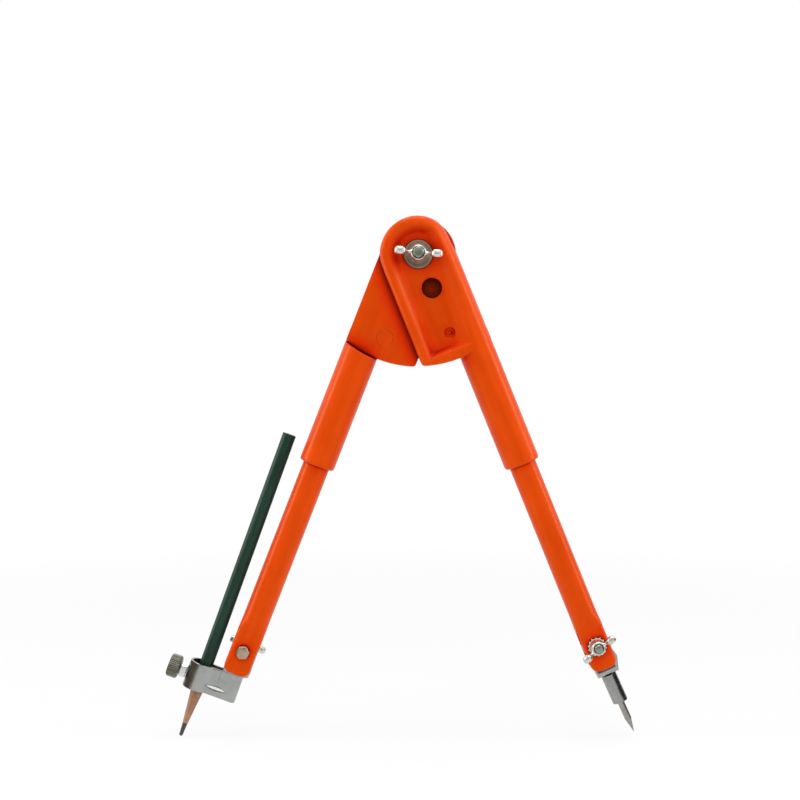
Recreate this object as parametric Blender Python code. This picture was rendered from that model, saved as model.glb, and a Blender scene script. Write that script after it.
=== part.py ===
"""Pencil compass for setting out on wood and board.

Two like moulded legs turn on one bolt at the head. Each leg ends in a fork
that carries a swivelling holder: a needle holder on one leg and a sheet metal
pencil clamp on the other. Units are metres and +Z is up. The origin is the
centre of the main pivot, X runs to the needle leg and -Y is the front.

Each leg is modelled in its own frame: the leg hangs along -Z from the pivot,
+X is its outer side and -Y is the side of its plate's recess. Depths called
"out" are measured from the middle plane towards that recess side.
"""
import math

import bmesh
import bpy
from mathutils import Matrix, Vector

# Pose in degrees
NEEDLE_LEG_TILT = 22.0
PENCIL_LEG_TILT = 21.3
NEEDLE_HOLDER_TURN = -2.0
PENCIL_HOLDER_TURN = 1.4
PIVOT_NUT_TURN = 5.3
NEEDLE_NUT_TURN = -16.8
PENCIL_NUT_TURN = 0.0
SWIVEL_HEAD_TURN = 20.0

# General clearances and overruns
TOUCH_GAP = 0.0003
CUT_OVERRUN = 0.003
MERGE_DISTANCE = 0.000004

# Legs
LEG_AXIS_OFFSET = 0.0103
PLATE_DEPTH = 0.0100
MATING_CLEARANCE = 0.00025
BOSS_RADIUS = 0.0212
PLATE_INNER_EDGE = 0.0210
PLATE_END_RADIUS = 0.0617
SLEEVE_RADIUS = 0.0100
SLEEVE_CLEARANCE = 0.0010
SLEEVE_END = 0.1290
SLEEVE_LIP_LENGTH = 0.0020
SLEEVE_LIP_INSET = 0.0010
SLEEVE_ROOT_INSET = 0.0003
SLEEVE_ROOT_LENGTH = 0.0100
SLEEVE_SINK = 0.0004
RIM_ROUND = 0.0034
RIM_END_ROUND = 0.0008
RIM_BLEND_START = 0.0220
RIM_BLEND_INSET = 0.0003

# Recess in each plate
RECESS_FLOOR = 0.0050
RECESS_BOSS_RADIUS = 0.0140
RECESS_INNER_EDGE = 0.0136
RECESS_OUTER_EDGE = 0.0128
RECESS_END = 0.0540
RECESS_END_OUTER = 0.0060
RECESS_TAPER_START = 0.0220
RECESS_SLOPE = 0.0028
HANG_HOLE_RADIUS = 0.0056
HANG_HOLE_DROP = 0.0200
DIMPLE_RADIUS = 0.0029
DIMPLE_DEPTH = 0.0009
DIMPLE_DROP = 0.0465

# Lower leg rods
ROD_RADIUS = 0.0075
ROD_SOCKET_DEPTH = 0.0340
ROD_SOCKET_CLEARANCE = 0.0003
ROD_CORE_RADIUS = 0.0045
ROD_CORE_TO_FORK = 0.0142
NEEDLE_ROD_PUSH = 0.0019
SWIVEL_DROP = 0.2390
ROD_END_BEYOND_SWIVEL = 0.0135
ROD_END_ROUND = 0.0055
FORK_FACE_OUT = 0.0062
FORK_CORNER = 0.0024
FORK_BLEND = 0.0100
FORK_SLOT_WIDTH = 0.0084
FORK_SLOT_ABOVE_SWIVEL = 0.0100

# Main pivot bolt, washers and wing nut
PIVOT_STEM_RADIUS = 0.0030
PIVOT_HEAD_FLATS = 0.0100
PIVOT_HEAD_HEIGHT = 0.0040
PIVOT_TIP_OUT = 0.0166
PIVOT_HEAD_POCKET_DEPTH = 0.0016
FLAT_WASHER_RADIUS = 0.0079
FLAT_WASHER_THICKNESS = 0.0012
SPRING_WASHER_RADIUS = 0.0057
SPRING_WASHER_THICKNESS = 0.0016
SPRING_WASHER_SPLIT = 0.0009
PIVOT_HUB_RADIUS = 0.0050
PIVOT_HUB_HEIGHT = 0.0058
PIVOT_WING_SPAN = 0.0263
PIVOT_WING_RISE = 0.0046
BOLT_CLEARANCE = 0.0003
TIP_CHAMFER = 0.0006

# Swivel bolts, washers and wing nuts
SWIVEL_STEM_RADIUS = 0.0024
SWIVEL_HEAD_FLATS = 0.0068
SWIVEL_HEAD_HEIGHT = 0.0028
SWIVEL_TIP_OUT = 0.0146
SWIVEL_WASHER_RADIUS = 0.0053
SWIVEL_WASHER_THICKNESS = 0.0010
SWIVEL_WASHER_TOOTH = 0.0005
SWIVEL_HUB_RADIUS = 0.0044
SWIVEL_HUB_HEIGHT = 0.0050
SWIVEL_WING_SPAN = 0.0216
SWIVEL_WING_RISE = 0.0038
HEAD_CHAMFER = 0.0005
HEAD_CHAMFER_ANGLE = 30.0
SPACER_RADIUS = 0.0038

# Wings, as shares of the nut that carries them
WING_STATION_SHARES = (0.0, 0.22, 0.44, 0.62, 0.78, 0.90, 0.97, 1.0)
WING_THICKNESS_SHARES = (0.62, 0.55, 0.50, 0.62, 0.90, 1.0, 0.80, 0.34)
WING_DEPTH_SHARES = (0.95, 0.86, 0.74, 0.74, 0.84, 0.86, 0.68, 0.30)
WING_ROOT_SHARE = 0.45
WING_TIP_THICKNESS_SHARE = 0.42
HUB_TOP_SHARE = 0.84

# Sheet metal holders
SHEET_THICKNESS = 0.0012
TONGUE_OUT = 0.0039
BRACKET_DISC_RADIUS = 0.0072
BRACKET_EAR_REACH = 0.0092
BRACKET_EAR_DROP = 0.0095
BRACKET_EAR_ROUND = 0.0015
BRACKET_EAR_START = 22.0
NEEDLE_BRACKET_BASE = 0.0163
NEEDLE_BRACKET_HALF_WIDTH = 0.0062
NEEDLE_WINDOW_HALF_WIDTH = 0.0051
NEEDLE_WINDOW_HEIGHT = 0.0017
NEEDLE_WINDOW_LIP = 0.0017
BRACKET_BEND = 0.0010

# Needle holder
NEEDLE_BODY_RADIUS = 0.0043
NEEDLE_BODY_END = 0.0344
NEEDLE_BODY_ROUND = 0.0013
NEEDLE_SPIGOT_RADIUS = 0.0015
NEEDLE_RIVET_HEIGHT = 0.0008
NEEDLE_RADIUS = 0.0019
NEEDLE_STRAIGHT = 0.0103
NEEDLE_CONE = 0.0082
NEEDLE_TIP_RADIUS = 0.00012
NEEDLE_SOCKET_DEPTH = 0.0120

# Pencil clamp
BAND_TOP = 0.0144
BAND_BOTTOM = 0.0294
BAND_LOOP_RADIUS = 0.0068
BAND_OUTER_END = 0.0260
BAND_INNER_END = 0.0046
BAND_FOLD_RADIUS = 0.0024
BAND_TONGUE_RADIUS = 0.0074
BAND_SHOULDER = 0.0074
BAND_NECK_ANGLE = 12.0
LANCE_LENGTH = 0.0126
LANCE_HEIGHT = 0.0026
LANCE_CENTRE = 0.0076
LANCE_DROP = 0.0248
CLAMP_SCREW_DROP = 0.0216
CLAMP_NUT_FLATS = 0.0080
CLAMP_NUT_THICKNESS = 0.0036
CLAMP_SCREW_RADIUS = 0.0020
CLAMP_SCREW_TIP_RADIUS = 0.0013
CLAMP_SCREW_TIP_LENGTH = 0.0008
KNOB_RADIUS = 0.0063
KNOB_LENGTH = 0.0061
KNOB_GROOVE = 0.0004
KNOB_CHAMFER = 0.0006
KNOB_STANDOFF = 0.0005
KNOB_SOCKET_DEPTH = 0.0040

# Pencil
PENCIL_CORNER_RADIUS = 0.0040
PENCIL_ABOVE_SWIVEL = 0.1210
PENCIL_TIP_DROP = 0.0570
LEAD_EXPOSED = 0.0076
LEAD_CORE_RADIUS = 0.00115
LEAD_BORE_CLEARANCE = 0.0002
LEAD_SHOULDER_RADIUS = 0.00138
LEAD_TIP_RADIUS = 0.0010
LEAD_TIP_ROUND = 0.0004
WOOD_EDGE_RADIUS = 0.00145
SHARPENED_HALF_ANGLE = 5.9
PENCIL_END_RECESS = 0.0004

# Facet counts
LARGE_SEGMENTS = 40
SMALL_SEGMENTS = 24
KNURL_SEGMENTS = 60
TOOTH_SEGMENTS = 28
ROUND_STEPS = 5
CORNER_STEPS = 4
WING_SECTION_POINTS = 12
HEX_SIDES = 6
SMOOTH_ANGLE = 35.0

# Finishes: colour, roughness, metallic
FINISHES = {
    "orange_moulding": ((0.76, 0.062, 0.006, 1.0), 0.38, 0.0),
    "bright_zinc": ((0.62, 0.62, 0.60, 1.0), 0.26, 1.0),
    "satin_sheet": ((0.52, 0.53, 0.53, 1.0), 0.34, 1.0),
    "knob_brass": ((0.24, 0.225, 0.165, 1.0), 0.42, 1.0),
    "needle_steel": ((0.50, 0.49, 0.46, 1.0), 0.30, 1.0),
    "pencil_wood": ((0.016, 0.045, 0.030, 1.0), 0.35, 0.0),
    "graphite": ((0.045, 0.050, 0.050, 1.0), 0.45, 0.2),
}


def clear_scene():
    """Remove every object that the file opened with."""
    for item in list(bpy.data.objects):
        bpy.data.objects.remove(item, do_unlink=True)


def finish_material(name):
    """Return the Principled material called name."""
    colour, roughness, metallic = FINISHES[name]
    material = bpy.data.materials.get(name) or bpy.data.materials.new(name)
    material.use_nodes = True
    shader = material.node_tree.nodes["Principled BSDF"]
    shader.inputs["Base Color"].default_value = colour
    shader.inputs["Roughness"].default_value = roughness
    shader.inputs["Metallic"].default_value = metallic
    material.diffuse_color = colour
    return material


def make_frame(name, parent, place, turn):
    """Add an empty that carries the pieces of one leg, swivel or holder."""
    empty = bpy.data.objects.new(name, None)
    bpy.context.scene.collection.objects.link(empty)
    empty.parent = parent
    empty.location = place
    empty.rotation_euler = [math.radians(angle) for angle in turn]
    return empty


def place_piece(name, mesh, finish, parent, place=(0, 0, 0), turn=(0, 0, 0)):
    """Put a finished mesh in the scene as one named sub-part."""
    tidy = bmesh.new()
    tidy.from_mesh(mesh)
    bmesh.ops.remove_doubles(tidy, verts=tidy.verts, dist=MERGE_DISTANCE)
    bmesh.ops.dissolve_degenerate(tidy, edges=tidy.edges, dist=MERGE_DISTANCE)
    bmesh.ops.recalc_face_normals(tidy, faces=tidy.faces)
    tidy.to_mesh(mesh)
    tidy.free()
    mesh.name = name
    mesh.materials.clear()
    mesh.materials.append(finish_material(finish))
    mesh.shade_smooth()
    mesh.set_sharp_from_angle(angle=math.radians(SMOOTH_ANGLE))
    piece = bpy.data.objects.new(name, mesh)
    bpy.context.scene.collection.objects.link(piece)
    piece.parent = parent
    piece.location = place
    piece.rotation_euler = [math.radians(angle) for angle in turn]
    return piece


def mesh_from(shape):
    """Turn a bmesh into a mesh with its faces pointing out."""
    bmesh.ops.recalc_face_normals(shape, faces=shape.faces)
    mesh = bpy.data.meshes.new("shape")
    shape.to_mesh(mesh)
    shape.free()
    return mesh


def loft(loops):
    """Skin a list of point loops of equal length and close both ends."""
    shape = bmesh.new()
    rings = [[shape.verts.new(point) for point in loop] for loop in loops]
    count = len(rings[0])
    for lower, upper in zip(rings, rings[1:]):
        for index in range(count):
            following = (index + 1) % count
            shape.faces.new((lower[index], lower[following], upper[following], upper[index]))
    shape.faces.new(list(reversed(rings[0])))
    shape.faces.new(rings[-1])
    return mesh_from(shape)


def turned(profile, segments, groove=0.0):
    """Turn a profile of (radius, height, grooved) about Z, from one end to the other.

    A profile that starts and ends on the axis is a full body, and any other is
    a closed ring. Grooved points lose the groove depth on every other segment.
    """
    shape = bmesh.new()
    on_axis = profile[0][0] == 0
    rows = []
    for radius, height, grooved in profile:
        if radius == 0:
            rows.append([shape.verts.new((0, 0, height))])
            continue
        row = []
        for index in range(segments):
            angle = 2 * math.pi * index / segments
            reach = radius - groove if grooved and index % 2 else radius
            row.append(shape.verts.new((reach * math.cos(angle), reach * math.sin(angle), height)))
        rows.append(row)
    pairs = list(zip(rows, rows[1:]))
    if not on_axis:
        pairs.append((rows[-1], rows[0]))
    for lower, upper in pairs:
        if len(lower) == 1 and len(upper) == 1:
            continue
        for index in range(segments):
            following = (index + 1) % segments
            corners = []
            for row, spot in ((lower, index), (lower, following), (upper, following), (upper, index)):
                vertex = row[spot % len(row)]
                if vertex not in corners:
                    corners.append(vertex)
            shape.faces.new(corners)
    return mesh_from(shape)


def plain(points):
    """Give (radius, height) points no grooves."""
    return [(radius, height, False) for radius, height in points]


def cylinder(radius, low, high, segments=SMALL_SEGMENTS):
    """A plain cylinder about Z."""
    return turned(plain([(0, low), (radius, low), (radius, high), (0, high)]), segments)


def ring(inner, outer, low, high, segments=SMALL_SEGMENTS):
    """A plain ring about Z."""
    return turned(plain([(inner, low), (outer, low), (outer, high), (inner, high)]), segments)


def prism(outline, near, far):
    """Stand an outline of (x, z) points between two places along Y."""
    return loft([[(x, near, z) for x, z in outline], [(x, far, z) for x, z in outline]])


def box(low, high):
    """A box between two corners."""
    outline = [(low[0], low[2]), (high[0], low[2]), (high[0], high[2]), (low[0], high[2])]
    return prism(outline, low[1], high[1])


def moved(mesh, place=(0, 0, 0), turn=0.0, axis="X"):
    """Turn a mesh in degrees about an axis, then move it."""
    mesh.transform(Matrix.Translation(Vector(place)) @ Matrix.Rotation(math.radians(turn), 4, axis))
    return mesh


def combined(base, tool, operation):
    """Return base joined with, cut by or kept inside tool."""
    carriers = []
    for mesh in (base, tool):
        carrier = bpy.data.objects.new("carrier", mesh)
        bpy.context.scene.collection.objects.link(carrier)
        carriers.append(carrier)
    modifier = carriers[0].modifiers.new("combine", "BOOLEAN")
    modifier.operation = operation
    modifier.solver = "EXACT"
    modifier.object = carriers[1]
    depsgraph = bpy.context.evaluated_depsgraph_get()
    result = bpy.data.meshes.new_from_object(carriers[0].evaluated_get(depsgraph))
    for carrier in carriers:
        bpy.data.objects.remove(carrier, do_unlink=True)
    return result


def joined(base, *tools):
    """Join every tool to base."""
    for tool in tools:
        base = combined(base, tool, "UNION")
    return base


def cut(base, *tools):
    """Cut every tool out of base."""
    for tool in tools:
        base = combined(base, tool, "DIFFERENCE")
    return base


def arc(radius, start, end, steps, centre=(0.0, 0.0)):
    """Points on an arc between two angles in degrees."""
    points = []
    for step in range(steps + 1):
        angle = math.radians(start + (end - start) * step / steps)
        points.append((centre[0] + radius * math.cos(angle), centre[1] + radius * math.sin(angle)))
    return points


def hexagon(flats, start=0.0):
    """The corners of a hexagon given across its flats."""
    reach = flats / 2 / math.cos(math.pi / HEX_SIDES)
    return arc(reach, start, start + 360 - 360 / HEX_SIDES, HEX_SIDES - 1)


def hex_prism(flats, low, high, chamfer=0.0):
    """A hexagonal prism about Z whose far corners are turned off by a chamfer."""
    loops = [[(x, y, low) for x, y in hexagon(flats)], [(x, y, high) for x, y in hexagon(flats)]]
    prism_mesh = loft(loops)
    if not chamfer:
        return prism_mesh
    corner = flats / 2 / math.cos(math.pi / HEX_SIDES)
    top_radius = flats / 2 - chamfer / 2
    slope = math.tan(math.radians(HEAD_CHAMFER_ANGLE))
    drop = (corner - top_radius) * slope
    envelope = turned(plain([
        (0, low - CUT_OVERRUN),
        (corner + chamfer, low - CUT_OVERRUN),
        (corner + chamfer, high - drop - chamfer * slope),
        (corner, high - drop),
        (top_radius, high),
        (0, high),
    ]), LARGE_SEGMENTS)
    return combined(envelope, prism_mesh, "INTERSECT")


def rim_round(radius, step):
    """Inset and depth of the rounded plate edge at one step of its arc."""
    angle = math.pi / 2 * step / ROUND_STEPS
    return radius * (1 - math.cos(angle)), PLATE_DEPTH - radius + radius * math.sin(angle)


def outer_round(drop):
    """Edge radius down the outer side, which grows into the round of the sleeve."""
    outer_edge = LEG_AXIS_OFFSET + SLEEVE_RADIUS
    end_drop = math.sqrt(PLATE_END_RADIUS ** 2 - outer_edge ** 2)
    share = max(0.0, (drop - RIM_BLEND_START) / (end_drop - RIM_BLEND_START))
    full = SLEEVE_RADIUS - RIM_BLEND_INSET
    return RIM_ROUND + (full - RIM_ROUND) * (3 * share ** 2 - 2 * share ** 3)


def plate_sides():
    """Side points of a plate as (x, z, inward x, inward z, edge radius), inner side first."""
    outer_edge = LEG_AXIS_OFFSET + SLEEVE_RADIUS
    inner_top = 180.0 - math.degrees(math.acos(PLATE_INNER_EDGE / BOSS_RADIUS))
    outer_top = math.degrees(math.acos(outer_edge / BOSS_RADIUS))
    sides = []
    for x, z in arc(BOSS_RADIUS, inner_top, outer_top, LARGE_SEGMENTS // 2):
        sides.append((x, z, -x / BOSS_RADIUS, -z / BOSS_RADIUS, RIM_ROUND))
    end_drop = math.sqrt(PLATE_END_RADIUS ** 2 - outer_edge ** 2)
    steps = 2 * ROUND_STEPS
    for step in range(1, steps):
        drop = end_drop * step / steps
        sides.append((outer_edge, -drop, -1.0, 0.0, outer_round(drop)))
    return sides


def plate_end_points(inner_round, outer_end_round):
    """Places across the lower edge of a plate, outer side first, between its rounded corners."""
    first = LEG_AXIS_OFFSET + SLEEVE_RADIUS - outer_end_round
    last = inner_round - PLATE_INNER_EDGE
    steps = 2 * ROUND_STEPS
    return [first + (last - first) * step / steps for step in range(1, steps)]


def plate_loop(step):
    """One loop of points round a plate: step None is its mating face."""
    outer_edge = LEG_AXIS_OFFSET + SLEEVE_RADIUS
    end_drop = math.sqrt(PLATE_END_RADIUS ** 2 - outer_edge ** 2)
    end_round = outer_round(end_drop)

    def spot(radius):
        if step is None:
            return 0.0, MATING_CLEARANCE
        return rim_round(radius, step)

    def end_drop_at(x, lift):
        return -math.sqrt(PLATE_END_RADIUS ** 2 - x ** 2) + lift

    points = []
    for x, z, inward_x, inward_z, radius in plate_sides():
        inset, out = spot(radius)
        points.append((x + inward_x * inset, -out, z + inward_z * inset))
    lift = spot(RIM_END_ROUND)[0]
    inset, out = spot(end_round)
    points.append((outer_edge - inset, -out, end_drop_at(outer_edge - inset, lift)))
    for x in plate_end_points(RIM_ROUND, end_round):
        points.append((x, -spot(RIM_END_ROUND)[1], end_drop_at(x, lift)))
    inset, out = spot(RIM_ROUND)
    points.append((inset - PLATE_INNER_EDGE, -out, end_drop_at(inset - PLATE_INNER_EDGE, lift)))
    return points


def recess_outline(spread):
    """The recess outline in (x, z), grown outwards by spread."""
    boss = RECESS_BOSS_RADIUS + spread
    inner = RECESS_INNER_EDGE + spread
    outer = RECESS_OUTER_EDGE + spread
    end = RECESS_END + spread
    points = arc(boss, 180.0 - math.degrees(math.acos(inner / boss)),
                 math.degrees(math.acos(outer / boss)), LARGE_SEGMENTS // 2)
    points.append((outer, -RECESS_TAPER_START))
    points.append((RECESS_END_OUTER + spread, -end))
    points.append((-inner, -end))
    return points


def recess_cutter():
    """The drafted pocket whose sloping walls leave the raised rim."""
    depth = PLATE_DEPTH - RECESS_FLOOR
    loops = []
    for step in range(CORNER_STEPS + 1):
        angle = math.pi / 2 * step / CORNER_STEPS
        spread = RECESS_SLOPE * math.sin(angle)
        out = RECESS_FLOOR + depth * (1 - math.cos(angle))
        loops.append([(x, -out, z) for x, z in recess_outline(spread)])
    last = recess_outline(RECESS_SLOPE)
    loops.append([(x, -PLATE_DEPTH - CUT_OVERRUN, z) for x, z in last])
    return loft(loops)


def across(mesh, x, z):
    """Lay a mesh made about Z along the depth of a leg, +Z to the recess side."""
    return moved(mesh, (x, 0, z), 90.0)


def leg_moulding():
    """Plate, rim, sleeve and holes of one leg."""
    plate = loft([plate_loop(None)] + [plate_loop(step) for step in range(ROUND_STEPS + 1)])
    sleeve_top = PLATE_END_RADIUS - SLEEVE_ROOT_LENGTH
    root_end = PLATE_END_RADIUS + SLEEVE_CLEARANCE
    sleeve = turned(plain([
        (0, -sleeve_top),
        (SLEEVE_RADIUS - SLEEVE_ROOT_INSET, -sleeve_top),
        (SLEEVE_RADIUS - SLEEVE_ROOT_INSET, -PLATE_END_RADIUS),
        (SLEEVE_RADIUS, -root_end),
        (SLEEVE_RADIUS, SLEEVE_LIP_LENGTH - SLEEVE_END),
        (SLEEVE_RADIUS - SLEEVE_LIP_INSET, -SLEEVE_END),
        (0, -SLEEVE_END),
    ]), LARGE_SEGMENTS)
    moved(sleeve, (LEG_AXIS_OFFSET, 0, 0), 180.0 / LARGE_SEGMENTS, "Z")
    sweep = across(cylinder(root_end, -SLEEVE_RADIUS - CUT_OVERRUN, MATING_CLEARANCE + SLEEVE_SINK,
                            2 * LARGE_SEGMENTS), 0, 0)
    sleeve = cut(sleeve, sweep)
    leg = joined(plate, sleeve)

    clear_radius = PIVOT_STEM_RADIUS + BOLT_CLEARANCE
    through = PLATE_DEPTH + CUT_OVERRUN
    pivot_hole = across(cylinder(clear_radius, -CUT_OVERRUN, through), 0, 0)
    hang_hole = across(cylinder(HANG_HOLE_RADIUS, -CUT_OVERRUN, through, LARGE_SEGMENTS),
                       0, -HANG_HOLE_DROP)
    pocket_flats = PIVOT_HEAD_FLATS + 2 * BOLT_CLEARANCE
    pocket_floor = RECESS_FLOOR - PIVOT_HEAD_POCKET_DEPTH
    head_pocket = across(hex_prism(pocket_flats, pocket_floor, through), 0, 0)
    dimple = across(turned(plain([
        (0, RECESS_FLOOR - DIMPLE_DEPTH),
        (DIMPLE_RADIUS / 2, RECESS_FLOOR - DIMPLE_DEPTH),
        (DIMPLE_RADIUS, RECESS_FLOOR),
        (DIMPLE_RADIUS, RECESS_FLOOR + DIMPLE_DEPTH),
        (0, RECESS_FLOOR + DIMPLE_DEPTH),
    ]), SMALL_SEGMENTS), 0, -DIMPLE_DROP)
    socket_radius = ROD_RADIUS + ROD_SOCKET_CLEARANCE
    socket = moved(cylinder(socket_radius, -SLEEVE_END - CUT_OVERRUN,
                            ROD_SOCKET_DEPTH - SLEEVE_END, LARGE_SEGMENTS),
                   (LEG_AXIS_OFFSET, 0, 0))
    return cut(leg, recess_cutter(), pivot_hole, hang_hole, head_pocket, dimple, socket)


def rod_section(half_width, half_depth, corner, height):
    """One section of a rod, a rectangle with round corners, as points at half steps of its turn."""
    corner = min(corner, half_width)
    points = []
    for index in range(LARGE_SEGMENTS):
        angle = 2 * math.pi * (index + 0.5) / LARGE_SEGMENTS
        across_x = math.copysign(half_width - corner, math.cos(angle))
        across_y = math.copysign(half_depth - corner, math.sin(angle))
        points.append((across_x + corner * math.cos(angle), across_y + corner * math.sin(angle), height))
    return points


def leg_rod():
    """Lower leg: a cored round rod that flattens into a fork with a rounded end."""
    top = ROD_SOCKET_DEPTH - SLEEVE_END - TOUCH_GAP - NEEDLE_ROD_PUSH
    end = -SWIVEL_DROP - ROD_END_BEYOND_SWIVEL
    slot_top = FORK_SLOT_ABOVE_SWIVEL - SWIVEL_DROP
    loops = [rod_section(ROD_RADIUS, ROD_RADIUS, ROD_RADIUS, top)]
    for step in range(CORNER_STEPS + 1):
        share = step / CORNER_STEPS
        flat = 3 * share ** 2 - 2 * share ** 3
        loops.append(rod_section(ROD_RADIUS,
                                 ROD_RADIUS + (FORK_FACE_OUT - ROD_RADIUS) * flat,
                                 ROD_RADIUS + (FORK_CORNER - ROD_RADIUS) * flat,
                                 slot_top + FORK_BLEND * (1 - share)))
    for x, z in arc(ROD_END_ROUND, 0.0, -90.0, ROUND_STEPS):
        loops.append(rod_section(ROD_RADIUS - ROD_END_ROUND + x, FORK_FACE_OUT, FORK_CORNER,
                                 end + ROD_END_ROUND + z))
    core = cylinder(ROD_CORE_RADIUS, slot_top + ROD_CORE_TO_FORK, top + CUT_OVERRUN)
    reach = ROD_RADIUS + CUT_OVERRUN
    slot = box((-reach, -FORK_SLOT_WIDTH / 2, end - CUT_OVERRUN),
               (reach, FORK_SLOT_WIDTH / 2, slot_top))
    hole = across(cylinder(SWIVEL_STEM_RADIUS + BOLT_CLEARANCE, -reach, reach), 0, -SWIVEL_DROP)
    return cut(loft(loops), core, slot, hole)


def bolt(flats, head_height, stem_radius, length):
    """Hex bolt about Z: the head lies below zero and the stem rises to length."""
    head = moved(hex_prism(flats, 0, head_height, HEAD_CHAMFER), (0, 0, 0), 180.0)
    stem = turned(plain([
        (0, -head_height / 2),
        (stem_radius, -head_height / 2),
        (stem_radius, length - TIP_CHAMFER),
        (stem_radius - TIP_CHAMFER, length),
        (0, length),
    ]), SMALL_SEGMENTS)
    return joined(head, stem)


def wing(hub_radius, hub_height, span, rise):
    """One wing of a wing nut along +X, thin at the hub and full at its tip."""
    root = hub_radius * WING_ROOT_SHARE
    tip_half = hub_radius * WING_TIP_THICKNESS_SHARE
    loops = []
    stations = zip(WING_STATION_SHARES, WING_THICKNESS_SHARES, WING_DEPTH_SHARES)
    for along, thickness, depth in stations:
        x = root + (span / 2 - root) * along
        middle = hub_height / 2 + rise * along
        half_depth = hub_height / 2 * depth
        loop = []
        for index in range(WING_SECTION_POINTS):
            angle = 2 * math.pi * (index + 0.5) / WING_SECTION_POINTS
            loop.append((x, tip_half * thickness * math.cos(angle),
                         middle + half_depth * math.sin(angle)))
        loops.append(loop)
    return loft(loops)


def wing_nut(hub_radius, hub_height, span, rise, stem_radius):
    """Wing nut about Z, standing on zero."""
    hub = turned(plain([
        (0, 0),
        (hub_radius, 0),
        (hub_radius, hub_height / 4),
        (hub_radius * HUB_TOP_SHARE, hub_height),
        (0, hub_height),
    ]), SMALL_SEGMENTS)
    right = wing(hub_radius, hub_height, span, rise)
    left = moved(wing(hub_radius, hub_height, span, rise), (0, 0, 0), 180.0, "Z")
    nut = joined(hub, right, left)
    bore = cylinder(stem_radius + BOLT_CLEARANCE, -CUT_OVERRUN, hub_height + rise + CUT_OVERRUN)
    return cut(nut, bore)


def spring_washer(inner, outer, thickness, split):
    """Split ring about Z, standing on zero."""
    washer = ring(inner, outer, 0, thickness)
    gap = box((inner / 2, -split / 2, -CUT_OVERRUN),
              (outer + CUT_OVERRUN, split / 2, thickness + CUT_OVERRUN))
    return cut(washer, gap)


def toothed_washer(inner, outer, thickness, tooth):
    """Ring about Z with a toothed edge, standing on zero."""
    return turned([
        (inner, 0, False),
        (outer, 0, True),
        (outer, thickness, True),
        (inner, thickness, False),
    ], TOOTH_SEGMENTS, tooth)


def needle_bracket():
    """U of sheet metal with two round arms, each with an ear, hung from the swivel bolt."""
    bottom = NEEDLE_BRACKET_BASE + SHEET_THICKNESS
    half = NEEDLE_BRACKET_HALF_WIDTH
    tangent = math.degrees(math.asin((BRACKET_DISC_RADIUS - half) / NEEDLE_BRACKET_BASE))
    outline = arc(BRACKET_DISC_RADIUS, -BRACKET_EAR_START, 180.0 + tangent, LARGE_SEGMENTS // 2)
    outline += [(-half, -NEEDLE_BRACKET_BASE), (-half, -bottom), (half, -bottom),
                (half, -NEEDLE_BRACKET_BASE)]
    outline += arc(BRACKET_EAR_ROUND, -BRACKET_EAR_START, BRACKET_EAR_START, CORNER_STEPS,
                   (BRACKET_EAR_REACH - BRACKET_EAR_ROUND, -BRACKET_EAR_DROP))
    body = prism(outline, -TONGUE_OUT, TONGUE_OUT)
    inside = TONGUE_OUT - SHEET_THICKNESS
    reach = BRACKET_EAR_REACH + CUT_OVERRUN
    gap = box((-reach, -inside, -NEEDLE_BRACKET_BASE), (reach, inside, reach))
    hole = across(cylinder(SWIVEL_STEM_RADIUS + BOLT_CLEARANCE, -reach, reach), 0, 0)
    window_floor = NEEDLE_BRACKET_BASE - NEEDLE_WINDOW_LIP
    window = box((-NEEDLE_WINDOW_HALF_WIDTH, -reach, -window_floor),
                 (NEEDLE_WINDOW_HALF_WIDTH, reach, NEEDLE_WINDOW_HEIGHT - window_floor))
    spigot_hole = cylinder(NEEDLE_SPIGOT_RADIUS + TOUCH_GAP, -bottom - CUT_OVERRUN,
                           CUT_OVERRUN - NEEDLE_BRACKET_BASE)
    bends = [moved(bend_cutter(half), (0, side * TONGUE_OUT, -bottom),
                   0.0 if side < 0 else 180.0, "Z") for side in (-1, 1)]
    return cut(body, gap, hole, window, spigot_hole, *bends)


def bend_cutter(half):
    """What the outside of a sheet bend leaves off a square corner at its lower -Y edge."""
    points = [(-CUT_OVERRUN, -CUT_OVERRUN), (BRACKET_BEND, -CUT_OVERRUN)]
    points += [(y, z) for y, z in arc(BRACKET_BEND, -90.0, -180.0, CORNER_STEPS,
                                      (BRACKET_BEND, BRACKET_BEND))]
    points.append((-CUT_OVERRUN, BRACKET_BEND))
    reach = half + CUT_OVERRUN
    return loft([[(-reach, y, z) for y, z in points], [(reach, y, z) for y, z in points]])


def needle_body():
    """Turned needle holder, riveted through the bracket's base."""
    bottom = NEEDLE_BRACKET_BASE + SHEET_THICKNESS
    rivet_low = TOUCH_GAP - NEEDLE_BRACKET_BASE
    edge = [(NEEDLE_BODY_RADIUS - NEEDLE_BODY_ROUND + x, NEEDLE_BODY_ROUND - NEEDLE_BODY_END + z)
            for x, z in arc(NEEDLE_BODY_ROUND, 0.0, -90.0, CORNER_STEPS)]
    rivet_radius = TONGUE_OUT - SHEET_THICKNESS - TOUCH_GAP
    socket_radius = NEEDLE_RADIUS + TOUCH_GAP
    socket_top = NEEDLE_SOCKET_DEPTH - NEEDLE_BODY_END
    return turned(plain([
        (0, rivet_low + NEEDLE_RIVET_HEIGHT),
        (rivet_radius - TOUCH_GAP, rivet_low + NEEDLE_RIVET_HEIGHT),
        (rivet_radius, rivet_low),
        (NEEDLE_SPIGOT_RADIUS, rivet_low),
        (NEEDLE_SPIGOT_RADIUS, -bottom - TOUCH_GAP),
        (NEEDLE_BODY_RADIUS, -bottom - TOUCH_GAP),
    ] + edge + [
        (socket_radius, -NEEDLE_BODY_END),
        (socket_radius, socket_top),
        (0, socket_top),
    ]), SMALL_SEGMENTS)


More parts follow.
